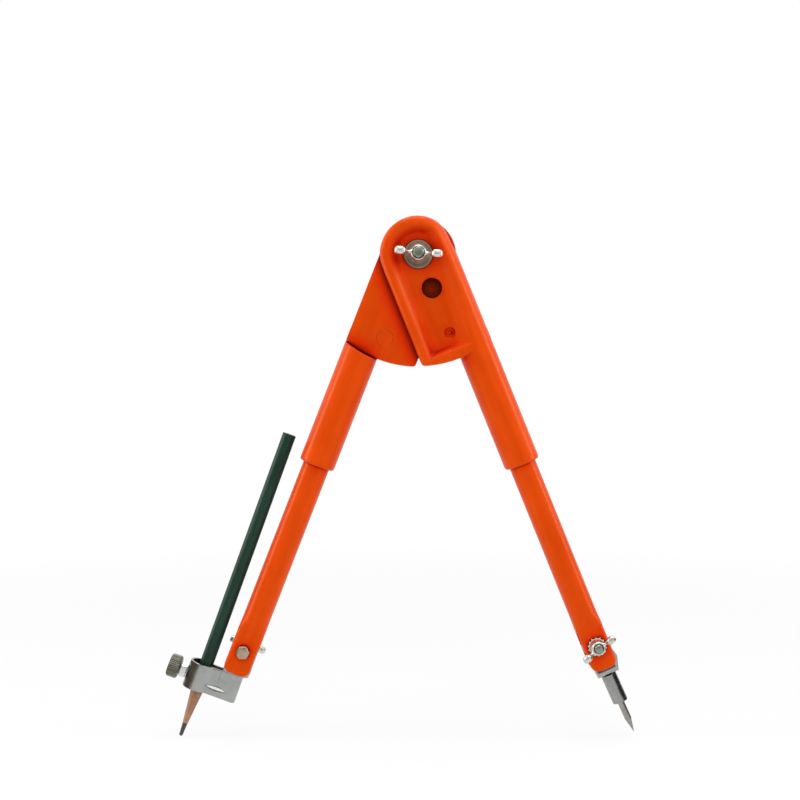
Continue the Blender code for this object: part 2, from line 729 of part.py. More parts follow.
def needle():
    """Steel point that sits in the holder's socket."""
    top = NEEDLE_SOCKET_DEPTH - NEEDLE_BODY_END - TOUCH_GAP
    shoulder = -NEEDLE_BODY_END - NEEDLE_STRAIGHT
    return turned(plain([
        (0, top),
        (NEEDLE_RADIUS, top),
        (NEEDLE_RADIUS, shoulder),
        (NEEDLE_TIP_RADIUS, shoulder - NEEDLE_CONE),
        (0, shoulder - NEEDLE_CONE),
    ]), SMALL_SEGMENTS)


def pencil_offset():
    """Where the loop of the band seats two corners of the pencil, outwards from the swivel bolt."""
    inside = BAND_LOOP_RADIUS - SHEET_THICKNESS - TOUCH_GAP
    half_flats = PENCIL_CORNER_RADIUS * math.cos(math.pi / HEX_SIDES)
    seat = math.sqrt(inside ** 2 - half_flats ** 2)
    return BAND_OUTER_END - BAND_LOOP_RADIUS - seat + PENCIL_CORNER_RADIUS / 2


def band_half_outline(inset):
    """The +Y half of the clamp band in (x, y), outer end first, set in by inset."""
    radius = BAND_LOOP_RADIUS - inset
    centre = BAND_OUTER_END - BAND_LOOP_RADIUS
    wall = TONGUE_OUT - inset
    meeting = 180.0 - math.degrees(math.asin(wall / radius))
    points = arc(radius, 0.0, meeting, LARGE_SEGMENTS // 3, (centre, 0.0))
    fold = BAND_FOLD_RADIUS - inset
    fold_centre = BAND_FOLD_RADIUS - BAND_INNER_END
    points += arc(fold, 90.0, 180.0, CORNER_STEPS, (fold_centre, wall - fold))
    return points


def band_outline(inset):
    """The whole clamp band outline in (x, y)."""
    upper = band_half_outline(inset)
    lower = [(x, -y) for x, y in reversed(upper[1:])]
    return upper + lower


def pencil_clamp():
    """One stamping: a loop round the pencil with two round tongues into the fork."""
    band = loft([[(x, y, -BAND_BOTTOM) for x, y in band_outline(0.0)],
                 [(x, y, -BAND_TOP) for x, y in band_outline(0.0)]])
    disc = arc(BAND_TONGUE_RADIUS, -BAND_NECK_ANGLE, 180.0 + BAND_NECK_ANGLE, LARGE_SEGMENTS // 2)
    lap = (BAND_TOP + BAND_BOTTOM) / 2
    inner_side = BAND_FOLD_RADIUS - BAND_INNER_END
    outline = disc + [
        (-BAND_SHOULDER, SHEET_THICKNESS - BAND_TOP),
        (inner_side, -BAND_TOP - SHEET_THICKNESS),
        (inner_side, -lap),
        (BAND_SHOULDER, -lap),
        (BAND_SHOULDER, -BAND_TOP),
    ]
    sheet_inside = TONGUE_OUT - SHEET_THICKNESS
    tongues = [prism(outline, side * sheet_inside, side * TONGUE_OUT) for side in (-1, 1)]
    clamp = joined(band, *tongues)
    hollow = loft([[(x, y, -BAND_BOTTOM - CUT_OVERRUN) for x, y in band_outline(SHEET_THICKNESS)],
                   [(x, y, CUT_OVERRUN - BAND_TOP) for x, y in band_outline(SHEET_THICKNESS)]])
    reach = BAND_TONGUE_RADIUS + CUT_OVERRUN
    hole = across(cylinder(SWIVEL_STEM_RADIUS + BOLT_CLEARANCE, -reach, reach), 0, 0)
    screw_hole = moved(cylinder(CLAMP_SCREW_RADIUS + BOLT_CLEARANCE, pencil_offset(),
                                BAND_OUTER_END + CUT_OVERRUN), (0, 0, -CLAMP_SCREW_DROP), 90.0, "Y")
    lance = prism(lance_outline(), 0, BAND_LOOP_RADIUS + CUT_OVERRUN)
    return cut(clamp, hollow, hole, screw_hole, lance)


def lance_outline():
    """Lens shaped slot in the front wall of the band."""
    half = LANCE_LENGTH / 2
    low = LANCE_HEIGHT / 2
    bow = (half ** 2 + low ** 2) / (2 * low)
    sweep = math.degrees(math.asin(half / bow))
    upper = arc(bow, 90.0 + sweep, 90.0 - sweep, 2 * CORNER_STEPS, (LANCE_CENTRE, low - bow - LANCE_DROP))
    lower = [(x, -2 * LANCE_DROP - z) for x, z in reversed(upper[1:-1])]
    return upper + lower


def clamp_nut():
    """Hex nut fixed on the outer end of the band, about Z from its seat at zero."""
    nut = hex_prism(CLAMP_NUT_FLATS, 0, CLAMP_NUT_THICKNESS, HEAD_CHAMFER)
    return cut(nut, cylinder(CLAMP_SCREW_RADIUS + BOLT_CLEARANCE, -CUT_OVERRUN,
                             CLAMP_NUT_THICKNESS + CUT_OVERRUN))


def clamp_screw(length):
    """Thumb screw stem about Z, its tip at zero."""
    return turned(plain([
        (0, 0),
        (CLAMP_SCREW_TIP_RADIUS, 0),
        (CLAMP_SCREW_RADIUS, CLAMP_SCREW_TIP_LENGTH),
        (CLAMP_SCREW_RADIUS, length),
        (0, length),
    ]), SMALL_SEGMENTS)


def clamp_knob():
    """Knurled knob about Z with a blind hole for the stem, its inner face at zero."""
    hole_radius = CLAMP_SCREW_RADIUS + TOUCH_GAP
    return turned([
        (hole_radius, 0, False),
        (KNOB_RADIUS - KNOB_CHAMFER, 0, False),
        (KNOB_RADIUS, KNOB_CHAMFER, True),
        (KNOB_RADIUS, KNOB_LENGTH - KNOB_CHAMFER, True),
        (KNOB_RADIUS - KNOB_CHAMFER, KNOB_LENGTH, False),
        (0, KNOB_LENGTH, False),
        (0, KNOB_SOCKET_DEPTH, False),
        (hole_radius, KNOB_SOCKET_DEPTH, False),
    ], KNURL_SEGMENTS, KNOB_GROOVE)


def sharpened_radius(drop):
    """Radius of the sharpened cone at a depth below the swivel bolt."""
    wood_end = PENCIL_TIP_DROP - LEAD_EXPOSED
    return WOOD_EDGE_RADIUS + (wood_end - drop) * math.tan(math.radians(SHARPENED_HALF_ANGLE))


def pencil_casing():
    """Hexagonal wood casing, sharpened below the clamp and bored for its lead."""
    wood_end = PENCIL_TIP_DROP - LEAD_EXPOSED
    flats = 2 * PENCIL_CORNER_RADIUS * math.cos(math.pi / HEX_SIDES)
    stick = loft([[(x, y, height) for x, y in hexagon(flats)]
                  for height in (-PENCIL_TIP_DROP, PENCIL_ABOVE_SWIVEL)])
    wide = PENCIL_CORNER_RADIUS + TOUCH_GAP
    slope = math.tan(math.radians(SHARPENED_HALF_ANGLE))
    cone_start = wood_end - (wide - WOOD_EDGE_RADIUS) / slope
    envelope = turned(plain([
        (0, -wood_end),
        (sharpened_radius(wood_end), -wood_end),
        (sharpened_radius(cone_start), -cone_start),
        (wide, PENCIL_ABOVE_SWIVEL + CUT_OVERRUN),
        (0, PENCIL_ABOVE_SWIVEL + CUT_OVERRUN),
    ]), LARGE_SEGMENTS)
    casing = combined(stick, envelope, "INTERSECT")
    bore = cylinder(LEAD_CORE_RADIUS + LEAD_BORE_CLEARANCE, -wood_end - CUT_OVERRUN,
                    PENCIL_ABOVE_SWIVEL + CUT_OVERRUN)
    return cut(casing, bore)


def pencil_lead():
    """Graphite core with its exposed point."""
    shoulder = PENCIL_TIP_DROP - LEAD_EXPOSED + TOUCH_GAP
    return turned(plain([
        (0, PENCIL_ABOVE_SWIVEL - PENCIL_END_RECESS),
        (LEAD_CORE_RADIUS, PENCIL_ABOVE_SWIVEL - PENCIL_END_RECESS),
        (LEAD_CORE_RADIUS, -shoulder),
        (LEAD_SHOULDER_RADIUS, -shoulder),
        (LEAD_TIP_RADIUS, LEAD_TIP_ROUND - PENCIL_TIP_DROP),
        (LEAD_TIP_RADIUS / 2, -PENCIL_TIP_DROP),
        (0, -PENCIL_TIP_DROP),
    ]), SMALL_SEGMENTS)


def build_leg(prefix, leg_frame, push):
    """Moulding and rod of one leg, the rod pushed further into its sleeve by push."""
    place_piece(prefix + "_leg", leg_moulding(), "orange_moulding", leg_frame)
    place_piece(prefix + "_leg_rod", leg_rod(), "orange_moulding", leg_frame,
                (LEG_AXIS_OFFSET, 0, push))


def build_swivel(prefix, swivel_frame, nut_turn, washer):
    """Bolt, spacer, washer and wing nut of one swivel; their frame's +Z is the nut side."""
    seat = FORK_FACE_OUT + TOUCH_GAP
    nut_seat = seat + SWIVEL_WASHER_THICKNESS + TOUCH_GAP
    facing = (90.0, 0, 0)
    place_piece(prefix + "_swivel_bolt",
                bolt(SWIVEL_HEAD_FLATS, SWIVEL_HEAD_HEIGHT, SWIVEL_STEM_RADIUS, SWIVEL_TIP_OUT + seat),
                "bright_zinc", swivel_frame, (0, seat, 0), (90.0, SWIVEL_HEAD_TURN, 0))
    spacer_half = TONGUE_OUT - SHEET_THICKNESS - TOUCH_GAP
    place_piece(prefix + "_swivel_spacer",
                ring(SWIVEL_STEM_RADIUS + BOLT_CLEARANCE, SPACER_RADIUS, -spacer_half, spacer_half),
                "bright_zinc", swivel_frame, (0, 0, 0), facing)
    place_piece(prefix + "_swivel_washer", washer, "bright_zinc", swivel_frame, (0, -seat, 0), facing)
    place_piece(prefix + "_swivel_wing_nut",
                wing_nut(SWIVEL_HUB_RADIUS, SWIVEL_HUB_HEIGHT, SWIVEL_WING_SPAN, SWIVEL_WING_RISE,
                         SWIVEL_STEM_RADIUS),
                "bright_zinc", swivel_frame, (0, -nut_seat, 0), (90.0, nut_turn, 0))


def build_pivot(pencil_leg_frame):
    """Main bolt held in the rear plate, with its washers and wing nut in front."""
    facing = (90.0, 0, 0)
    head_seat = RECESS_FLOOR - PIVOT_HEAD_POCKET_DEPTH + TOUCH_GAP
    place_piece("pivot_bolt",
                bolt(PIVOT_HEAD_FLATS, PIVOT_HEAD_HEIGHT, PIVOT_STEM_RADIUS, head_seat + PIVOT_TIP_OUT),
                "bright_zinc", pencil_leg_frame, (0, -head_seat, 0), (-90.0, 0, 0))
    inner = PIVOT_STEM_RADIUS + BOLT_CLEARANCE
    flat_seat = RECESS_FLOOR + TOUCH_GAP
    place_piece("pivot_flat_washer",
                ring(inner, FLAT_WASHER_RADIUS, 0, FLAT_WASHER_THICKNESS, LARGE_SEGMENTS),
                "bright_zinc", None, (0, -flat_seat, 0), facing)
    spring_seat = flat_seat + FLAT_WASHER_THICKNESS + TOUCH_GAP
    place_piece("pivot_spring_washer",
                spring_washer(inner, SPRING_WASHER_RADIUS, SPRING_WASHER_THICKNESS, SPRING_WASHER_SPLIT),
                "bright_zinc", None, (0, -spring_seat, 0), facing)
    nut_seat = spring_seat + SPRING_WASHER_THICKNESS + TOUCH_GAP
    place_piece("pivot_wing_nut",
                wing_nut(PIVOT_HUB_RADIUS, PIVOT_HUB_HEIGHT, PIVOT_WING_SPAN, PIVOT_WING_RISE,
                         PIVOT_STEM_RADIUS),
                "bright_zinc", None, (0, -nut_seat, 0), (90.0, PIVOT_NUT_TURN, 0))


def build_needle_holder(holder_frame):
    """Bracket, turned body and steel point."""
    place_piece("needle_bracket", needle_bracket(), "satin_sheet", holder_frame)
    place_piece("needle_holder", needle_body(), "satin_sheet", holder_frame)
    place_piece("needle", needle(), "needle_steel", holder_frame)


def build_pencil_holder(holder_frame):
    """Clamp band, its nut, screw and knob, and the pencil."""
    place_piece("pencil_clamp_band", pencil_clamp(), "satin_sheet", holder_frame)
    sideways = (0, 90.0, 0)
    nut_seat = BAND_OUTER_END + TOUCH_GAP
    place_piece("clamp_nut", clamp_nut(), "satin_sheet", holder_frame,
                (nut_seat, 0, -CLAMP_SCREW_DROP), sideways)
    offset = pencil_offset()
    tip = offset + PENCIL_CORNER_RADIUS + TOUCH_GAP
    knob_face = nut_seat + CLAMP_NUT_THICKNESS + KNOB_STANDOFF
    stem_length = knob_face + KNOB_SOCKET_DEPTH - TOUCH_GAP - tip
    place_piece("clamp_screw", clamp_screw(stem_length), "bright_zinc", holder_frame,
                (tip, 0, -CLAMP_SCREW_DROP), sideways)
    place_piece("clamp_knob", clamp_knob(), "knob_brass", holder_frame,
                (knob_face, 0, -CLAMP_SCREW_DROP), sideways)
    place_piece("pencil_casing", pencil_casing(), "pencil_wood", holder_frame, (offset, 0, 0))
    place_piece("pencil_lead", pencil_lead(), "graphite", holder_frame, (offset, 0, 0))


def main():
    """Build the whole compass."""
    clear_scene()
    needle_leg = make_frame("needle_leg_frame", None, (0, 0, 0), (0, -NEEDLE_LEG_TILT, 0))
    pencil_leg = make_frame("pencil_leg_frame", None, (0, 0, 0), (0, -PENCIL_LEG_TILT, 180.0))
    needle_swivel = make_frame("needle_swivel_frame", needle_leg,
                               (LEG_AXIS_OFFSET, 0, NEEDLE_ROD_PUSH - SWIVEL_DROP), (0, 0, 0))
    pencil_swivel = make_frame("pencil_swivel_frame", pencil_leg,
                               (LEG_AXIS_OFFSET, 0, -SWIVEL_DROP), (0, 0, 0))
    needle_holder = make_frame("needle_holder_frame", needle_swivel, (0, 0, 0),
                               (0, NEEDLE_HOLDER_TURN, 0))
    pencil_holder = make_frame("pencil_holder_frame", pencil_swivel, (0, 0, 0),
                               (0, PENCIL_HOLDER_TURN, 0))
    washer_inner = SWIVEL_STEM_RADIUS + BOLT_CLEARANCE
    build_leg("needle", needle_leg, NEEDLE_ROD_PUSH)
    build_leg("pencil", pencil_leg, 0)
    build_pivot(pencil_leg)
    build_swivel("needle", needle_swivel, NEEDLE_NUT_TURN,
                 toothed_washer(washer_inner, SWIVEL_WASHER_RADIUS, SWIVEL_WASHER_THICKNESS,
                                SWIVEL_WASHER_TOOTH))
    build_swivel("pencil", pencil_swivel, PENCIL_NUT_TURN,
                 ring(washer_inner, SWIVEL_WASHER_RADIUS, 0, SWIVEL_WASHER_THICKNESS))
    build_needle_holder(needle_holder)
    build_pencil_holder(pencil_holder)


main()
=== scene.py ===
"""Looks of a setting-out compass: fine meshes, finishes, studio and camera.

Metres, +Z up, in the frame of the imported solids. Mouldings, sheet metal and wing
nuts are distance fields that one function skins, and round pieces are turned.
Each piece is made in the frame of the leg, swivel or holder that carries it: +X
is the leg's outer side, -Y the side of its recess and -Z runs down the leg.
Depths called "out" are measured from the middle plane towards the recess side.
"""
import math
from collections import namedtuple

import bmesh
import bpy
import numpy as np
from mathutils import Matrix, Vector


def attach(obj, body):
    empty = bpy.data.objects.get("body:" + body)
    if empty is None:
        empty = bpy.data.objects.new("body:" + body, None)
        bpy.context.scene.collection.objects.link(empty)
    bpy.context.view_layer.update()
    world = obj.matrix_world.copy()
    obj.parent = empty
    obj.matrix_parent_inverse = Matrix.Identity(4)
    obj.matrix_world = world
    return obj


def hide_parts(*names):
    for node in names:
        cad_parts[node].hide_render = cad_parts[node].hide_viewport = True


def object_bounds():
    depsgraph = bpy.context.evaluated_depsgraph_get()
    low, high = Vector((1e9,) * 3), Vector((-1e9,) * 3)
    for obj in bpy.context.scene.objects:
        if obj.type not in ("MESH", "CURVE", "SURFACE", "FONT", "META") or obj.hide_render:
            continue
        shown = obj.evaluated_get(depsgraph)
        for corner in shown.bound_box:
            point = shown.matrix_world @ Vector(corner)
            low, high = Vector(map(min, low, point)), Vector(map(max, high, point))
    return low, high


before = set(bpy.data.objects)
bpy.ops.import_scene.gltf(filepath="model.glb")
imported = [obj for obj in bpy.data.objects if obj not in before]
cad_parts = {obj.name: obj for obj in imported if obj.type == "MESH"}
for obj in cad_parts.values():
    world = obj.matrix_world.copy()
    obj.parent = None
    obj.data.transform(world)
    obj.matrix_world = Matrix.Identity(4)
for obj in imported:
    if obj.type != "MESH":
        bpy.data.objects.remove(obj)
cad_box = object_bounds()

# Pose in degrees, as the solids have it
NEEDLE_LEG_TILT = 22.0
PENCIL_LEG_TILT = 21.3
NEEDLE_HOLDER_TURN = -2.0
PENCIL_HOLDER_TURN = 1.4
PIVOT_NUT_TURN = 5.3
NEEDLE_NUT_TURN = -16.8
PENCIL_NUT_TURN = 0.0
SWIVEL_HEAD_TURN = 20.0

TOUCH_GAP = 0.0003
BOLT_CLEARANCE = 0.0003

# Leg mouldings
LEG_AXIS_OFFSET = 0.0103
PLATE_DEPTH = 0.0100
MATING_CLEARANCE = 0.00025
BOSS_RADIUS = 0.0212
PLATE_INNER_EDGE = 0.0210
PLATE_END_RADIUS = 0.0617
SLEEVE_RADIUS = 0.0100
SLEEVE_END = 0.1290
SLEEVE_LIP_LENGTH = 0.0020
SLEEVE_LIP_INSET = 0.0010
SLEEVE_LIP_FULLNESS = 0.98
SLEEVE_ROOT_LENGTH = 0.0100
SLEEVE_CLEARANCE = 0.0010
SWEEP_OUT = 0.00065
RIM_ROUND = 0.0034
RIM_END_ROUND = 0.0010
CROWN_BLEND = 0.0040
CROWN_FADE = 0.3
PLATE_CORNER = 0.0016
EDGE_ROUND = 0.0005
RECESS_FLOOR = 0.0050
RECESS_CROWN = 0.0168
RECESS_CROWN_SLOPE = 0.0060
RECESS_INNER = 0.0180
RECESS_INNER_SLOPE = 0.0076
RECESS_INNER_STEEP = 0.0053
RECESS_STEEP_START = 0.0220
RECESS_STEEP_END = 0.0450
RECESS_OUTER = 0.0170
RECESS_OUTER_END = 0.0100
RECESS_OUTER_SLOPE = 0.0105
RECESS_SOFT_SIDE = 0.0100
RECESS_TAPER_START = 0.0220
RECESS_END = 0.0570
RECESS_END_SLOPE = 0.0032
RECESS_CORNER_SHARE = 0.25
RECESS_FIELD_SHARE = 0.85
HANG_HOLE_RADIUS = 0.0056
HANG_HOLE_DROP = 0.0200
HOLE_LIP = 0.00045
DIMPLE_RADIUS = 0.0029
DIMPLE_REACH = 1.2
DIMPLE_DEPTH = 0.0016
DIMPLE_DROP = 0.0465
NUB_RADIUS = 0.0012
HEAD_POCKET_FLATS = 0.0106
HEAD_POCKET_FLOOR = 0.0034
RING_MARK_X = 0.0009
RING_MARK_DROP = 0.0493
RING_MARK_RADIUS = 0.0047
RING_MARK_WIDTH = 0.0006

# Lower leg rods
ROD_RADIUS = 0.0075
ROD_TOP = 0.0972
NEEDLE_ROD_PUSH = 0.0019
SWIVEL_DROP = 0.2390
ROD_END_BEYOND_SWIVEL = 0.0135
ROD_END_ROUND = 0.0046
ROD_END_LEAST_BLEND = 0.02
SOCKET_RADIUS = 0.0078
SOCKET_TOP = 0.0950
FORK_FACE_OUT = 0.0062
FORK_CORNER = 0.0024
FORK_BLEND = 0.0100
FORK_SLOT_WIDTH = 0.0084
FORK_SLOT_ABOVE_SWIVEL = 0.0100

# Bolts with their wing nuts: lengths, and where the tip stands out from the middle plane
Fastening = namedtuple("Fastening", "stem flats head tip_out pitch hub hub_height wing_span wing_rise")
PIVOT = Fastening(stem=0.0030, flats=0.0100, head=0.0040, tip_out=0.0166, pitch=0.0010,
                  hub=0.0050, hub_height=0.0058, wing_span=0.0263, wing_rise=0.0046)
SWIVEL = Fastening(stem=0.0024, flats=0.0068, head=0.0028, tip_out=0.0146, pitch=0.0008,
                   hub=0.0044, hub_height=0.0050, wing_span=0.0216, wing_rise=0.0038)
PIVOT_BORE = PIVOT.stem + BOLT_CLEARANCE
SWIVEL_BORE = SWIVEL.stem + BOLT_CLEARANCE
METAL_EDGE = 0.0003
HEAD_CHAMFER = 0.0007
HEAD_FACE_SHARE = 0.80
HEAD_CHAMFER_POWER = 1.3
THREAD_DEPTH_SHARE = 0.55
THREAD_FLANK = 1.6
THREAD_START_SHARE = 0.25
HUB_TAPER = 0.16
WING_PAD_SHARES = (0.60, 0.46, 0.50)
WING_PAD_POWER = 2.8
WING_TIP_SHARE = 0.92
WING_ROOT_REACH = 0.6
WING_ROOT_HEIGHT = 0.48
NECK_FLATTEN = 1.75
NECK_STRETCH = 0.85
NECK_SHARE = 0.33
NECK_THINNING = 0.05
NECK_BLEND = 0.32
HUB_BLEND = 0.30

# Washers
FLAT_WASHER_RADIUS = 0.0079
FLAT_WASHER_THICKNESS = 0.0012
SPRING_WASHER_RADIUS = 0.0057
SPRING_WASHER_THICKNESS = 0.0016
SPRING_WASHER_SPLIT = 9.0
SPRING_WASHER_LIFT = 0.06
SWIVEL_WASHER_RADIUS = 0.0053
SWIVEL_WASHER_THICKNESS = 0.0010
SWIVEL_WASHER_TOOTH = 0.0006
SWIVEL_WASHER_TEETH = 14
TOOTH_FLANK = 1.8

# Sheet metal holders
SHEET_THICKNESS = 0.0012
SHEET_EDGE = 0.00035
TONGUE_OUT = 0.0039
BRACKET_DISC_RADIUS = 0.0072
BRACKET_EAR_REACH = 0.0083
BRACKET_EAR_DROP = 0.0095
BRACKET_EAR_ROUND = 0.0015
BRACKET_EAR_START = 22.0
BRACKET_BEND = 0.0010
NEEDLE_BRACKET_BASE = 0.0163
NEEDLE_BRACKET_BOTTOM = NEEDLE_BRACKET_BASE + SHEET_THICKNESS
NEEDLE_BRACKET_HALF_WIDTH = 0.0062
NEEDLE_WINDOW_HALF_WIDTH = 0.0051
NEEDLE_WINDOW_HEIGHT = 0.0017
NEEDLE_WINDOW_LIP = 0.0017

# Needle holder and needle
NEEDLE_BODY_RADIUS = 0.0043
NEEDLE_BODY_END = 0.0344
NEEDLE_SPIGOT_RADIUS = 0.0015
NEEDLE_RIVET_RADIUS = 0.0024
NEEDLE_RIVET_HEIGHT = 0.0008
NEEDLE_RADIUS = 0.0019
NEEDLE_STRAIGHT = 0.0103
NEEDLE_CONE = 0.0082
NEEDLE_CONE_STEPS = 8
NEEDLE_TIP_RADIUS = 0.00012
NEEDLE_SOCKET_DEPTH = 0.0120

# Pencil clamp
BAND_TOP = 0.0144
BAND_BOTTOM = 0.0294
BAND_LOOP_RADIUS = 0.0068
BAND_OUTER_END = 0.0260
BAND_INNER_END = 0.0046
BAND_FOLD_RADIUS = 0.0024
BAND_FILLET = 0.0016
BAND_TONGUE_RADIUS = 0.0074
BAND_SHOULDER = 0.0074
BAND_NECK_ANGLE = 12.0
LANCE_LENGTH = 0.0126
LANCE_HEIGHT = 0.0026
LANCE_CENTRE = 0.0076
LANCE_DROP = 0.0248
LANCE_STEPS = 24
LANCE_STRIP_REACH = 0.96
LANCE_STRIP_MIDDLE = 0.00075
LANCE_STRIP_END = 0.00030
LANCE_STRIP_SINK = 0.0008
LANCE_STRIP_TILT = 0.55
LANCE_STRIP_THICKNESS = 0.28
CLAMP_SCREW_DROP = 0.0216
CLAMP_SCREW_RADIUS = 0.0020
CLAMP_SCREW_PITCH = 0.0007
CLAMP_SCREW_TIP_RADIUS = 0.0013
CLAMP_SCREW_TIP_LENGTH = 0.0008
CLAMP_NUT_FLATS = 0.0080
CLAMP_NUT_THICKNESS = 0.0036
CLAMP_NUT_FACE_SHARE = 0.42
CLAMP_NUT_CHAMFER_POWER = 0.8
KNOB_RADIUS = 0.0063
KNOB_LENGTH = 0.0061
KNOB_TEETH = 36
KNOB_GROOVE = 0.0004
KNOB_GROOVE_POWER = 1.5
KNOB_CHAMFER = 0.0007
KNOB_DISH_SHARES = (0.62, 0.58)
KNOB_STANDOFF = 0.0005
KNOB_SOCKET_DEPTH = 0.0040

# Pencil
PENCIL_CORNER_RADIUS = 0.0040
PENCIL_ABOVE_SWIVEL = 0.1210
PENCIL_TIP_DROP = 0.0570
PENCIL_EDGE = 0.00025
PENCIL_STEPS = 8
CONE_STEPS = 10
LEAD_EXPOSED = 0.0076
LEAD_CORE_RADIUS = 0.00115
LEAD_RIM_SHARE = 1.3
LEAD_FIT_SHARE = 0.97
LEAD_SHOULDER_RADIUS = 0.00138
LEAD_TIP_RADIUS = 0.0010
LEAD_TIP_FLATNESS = 0.7
LEAD_TIP_ANGLES = (0, 20, 40, 60, 78)
WOOD_EDGE_RADIUS = 0.00145
SHARPENED_HALF_ANGLE = 5.9

# Mesh fineness
MOULD_STEP = 0.00045
ROD_STEP = 0.00045
LONG_STEP = 0.0015
NUT_STEP = 0.00022
SHEET_STEP = 0.00026
PAD = 3
MOULD_KEPT = 0.5
NUT_KEPT = 0.6
SHEET_KEPT = 0.5
TURN_SEGMENTS = 96
FINE_SEGMENTS = 144
ROUND_STEPS = 4
CHAMFER_STEPS = 6
THREAD_STEPS = 8
SMOOTH_ANGLE = 50.0
CRISP_ANGLE = 30.0
KNOB_ANGLE = 35.0

# How points are pulled onto a field's zero surface
PULLS = 2
PROBE_SHARE = 20
PULL_REACH = 8
LEAST_SLOPE = 0.3

# Colours, and where a noise pattern passes from one to the next
ORANGE_TONES = ((0.63, 0.050, 0.001), (0.69, 0.058, 0.002), (0.75, 0.067, 0.003))
ORANGE_PLACES = (0.36, 0.50, 0.66)
ORANGE_GLOSS = (1.0, 0.50, 0.10)
# Painted shade for the mouldings: deep red in their hollows and near black in the hang hole, mixed in by
# ambient occlusion over these ranges
HOLLOW_PAINTED_SHADE = (0.72, 0.018, 0.001)
HOLE_PAINTED_SHADE = (0.11, 0.001, 0.0005)
HOLLOW_SHADE_RANGE = (0.70, 1.0)
HOLE_SHADE_RANGE = (0.48, 0.75)
PLATE_PLACES = (0.34, 0.52, 0.68)
PLATE_SHADE = (0.82, 0.84, 0.78)
PLATE_LIGHT = 1.10
TURNED_PLACES = (0.38, 0.52, 0.66)
TURNED_SHADE = 0.80
TURNED_LIGHT = 1.12

# Studio: cards and lamps are (name, place, size, then colour and turn, or power and the rays they serve)
CAMERA_PLACE = (-0.01006, -0.650, -0.0803)
CAMERA_LENS = 52.65
CAMERA_SENSOR = 36.0
STUDIO_AIM = (0.0, 0.0, -0.12)
WORLD_LEVEL = 0.30
WHITE = (1.0, 1.0, 1.0)
FLOOR_SIZE = 12.0
FLOOR_TONE = (0.90, 0.90, 0.90)
FLOOR_ROUGHNESS = 0.9
FLOOR_GLOW = 0.85
FLOOR_FADE_START = 0.36
FLOOR_FADE_END = 0.90
CARDS = (
    ("front_card", (0, -0.75, 0.02), (0.6, 0.5), (0.34, 0.34, 0.32), 0.0),
    ("needle_card", (0.25, -0.05, -0.20), (0.25, 0.17), (0.030, 0.038, 0.030), 90.0),
    ("band_card", (-0.20, -0.08, -0.215), (0.24, 0.145), (0.16, 0.11, 0.07), 90.0),
)
LAMPS = (
    ("right_box", (0.88, -0.12, 0.0), (0.30, 1.2), 4.6, ("diffuse",)),
    ("right_strip", (0.90, -0.08, 0.0), (0.10, 1.2), 4.6, ("glossy",)),
    ("left_box", (-0.88, -0.12, 0.0), (0.30, 1.2), 5.5, ("diffuse",)),
    ("left_strip", (-0.90, -0.08, 0.0), (0.10, 1.2), 5.5, ("glossy",)),
    ("front_box", (0.10, -0.95, 0.45), (0.9, 0.7), 4.5, ("diffuse",)),
    ("top_box", (0.0, -0.10, 1.00), (0.8, 0.8), 7.0, ("diffuse", "glossy")),
)
SHIELDED = {"right_strip": ("needle_socket", "needle_point"), "left_strip": ("clamp_band",)}


def rotation(degrees, axis):
    """A turn about one axis."""
    return Matrix.Rotation(math.radians(degrees), 4, axis)


def shift(x=0.0, y=0.0, z=0.0):
    """A move."""
    return Matrix.Translation(Vector((x, y, z)))


# Distance fields, negative inside

def soft_max(first, second, blend):
    """The larger of two fields with a rounded crease of width blend."""
    share = np.clip(0.5 + 0.5 * (first - second) / blend, 0.0, 1.0)
    return second * (1 - share) + first * share + blend * share * (1 - share)


def soft_min(first, second, blend):
    """The smaller of two fields with a rounded crease of width blend."""
    return -soft_max(-first, -second, blend)


def rounded_corner(side, top, radius):
    """Where two faces meet in an edge of the given radius."""
    across = side + radius
    upward = top + radius
    outside = np.hypot(np.maximum(across, 0.0), np.maximum(upward, 0.0))
    return np.minimum(np.maximum(across, upward), 0.0) + outside - radius


def polygon_field(points, u, v):
    """Signed distance in a plane to a closed outline."""
    distance = np.full(np.broadcast(u, v).shape, 1.0)
    inside = np.zeros(distance.shape, dtype=bool)
    for (u0, v0), (u1, v1) in zip(points, points[1:] + points[:1]):
        run, climb = u1 - u0, v1 - v0
        length = run * run + climb * climb
        if length == 0:
            continue
        along = np.clip(((u - u0) * run + (v - v0) * climb) / length, 0.0, 1.0)
        distance = np.minimum(distance, np.hypot(u - u0 - run * along, v - v0 - climb * along))
        if climb != 0:
            inside ^= ((v0 > v) != (v1 > v)) & (u < run * (v - v0) / climb + u0)
    return np.where(inside, -distance, distance)


def hexagon_field(u, v, flats):
    """Distance to a hexagon with a corner on the u axis."""
    field = np.abs(v) - flats / 2
    for angle in (math.pi / 6, -math.pi / 6):
        field = np.maximum(field, np.abs(u * math.cos(angle) + v * math.sin(angle)) - flats / 2)
    return field


def ladder(*stretches):
    """Grid coordinates from (start, end, step) stretches that follow each other."""
    values = []
    for start, end, step in stretches:
        count = max(1, round(abs(end - start) / step))
        values.extend(start + (end - start) * index / count for index in range(count))
    values.append(stretches[-1][1])
    return np.array(sorted(values))


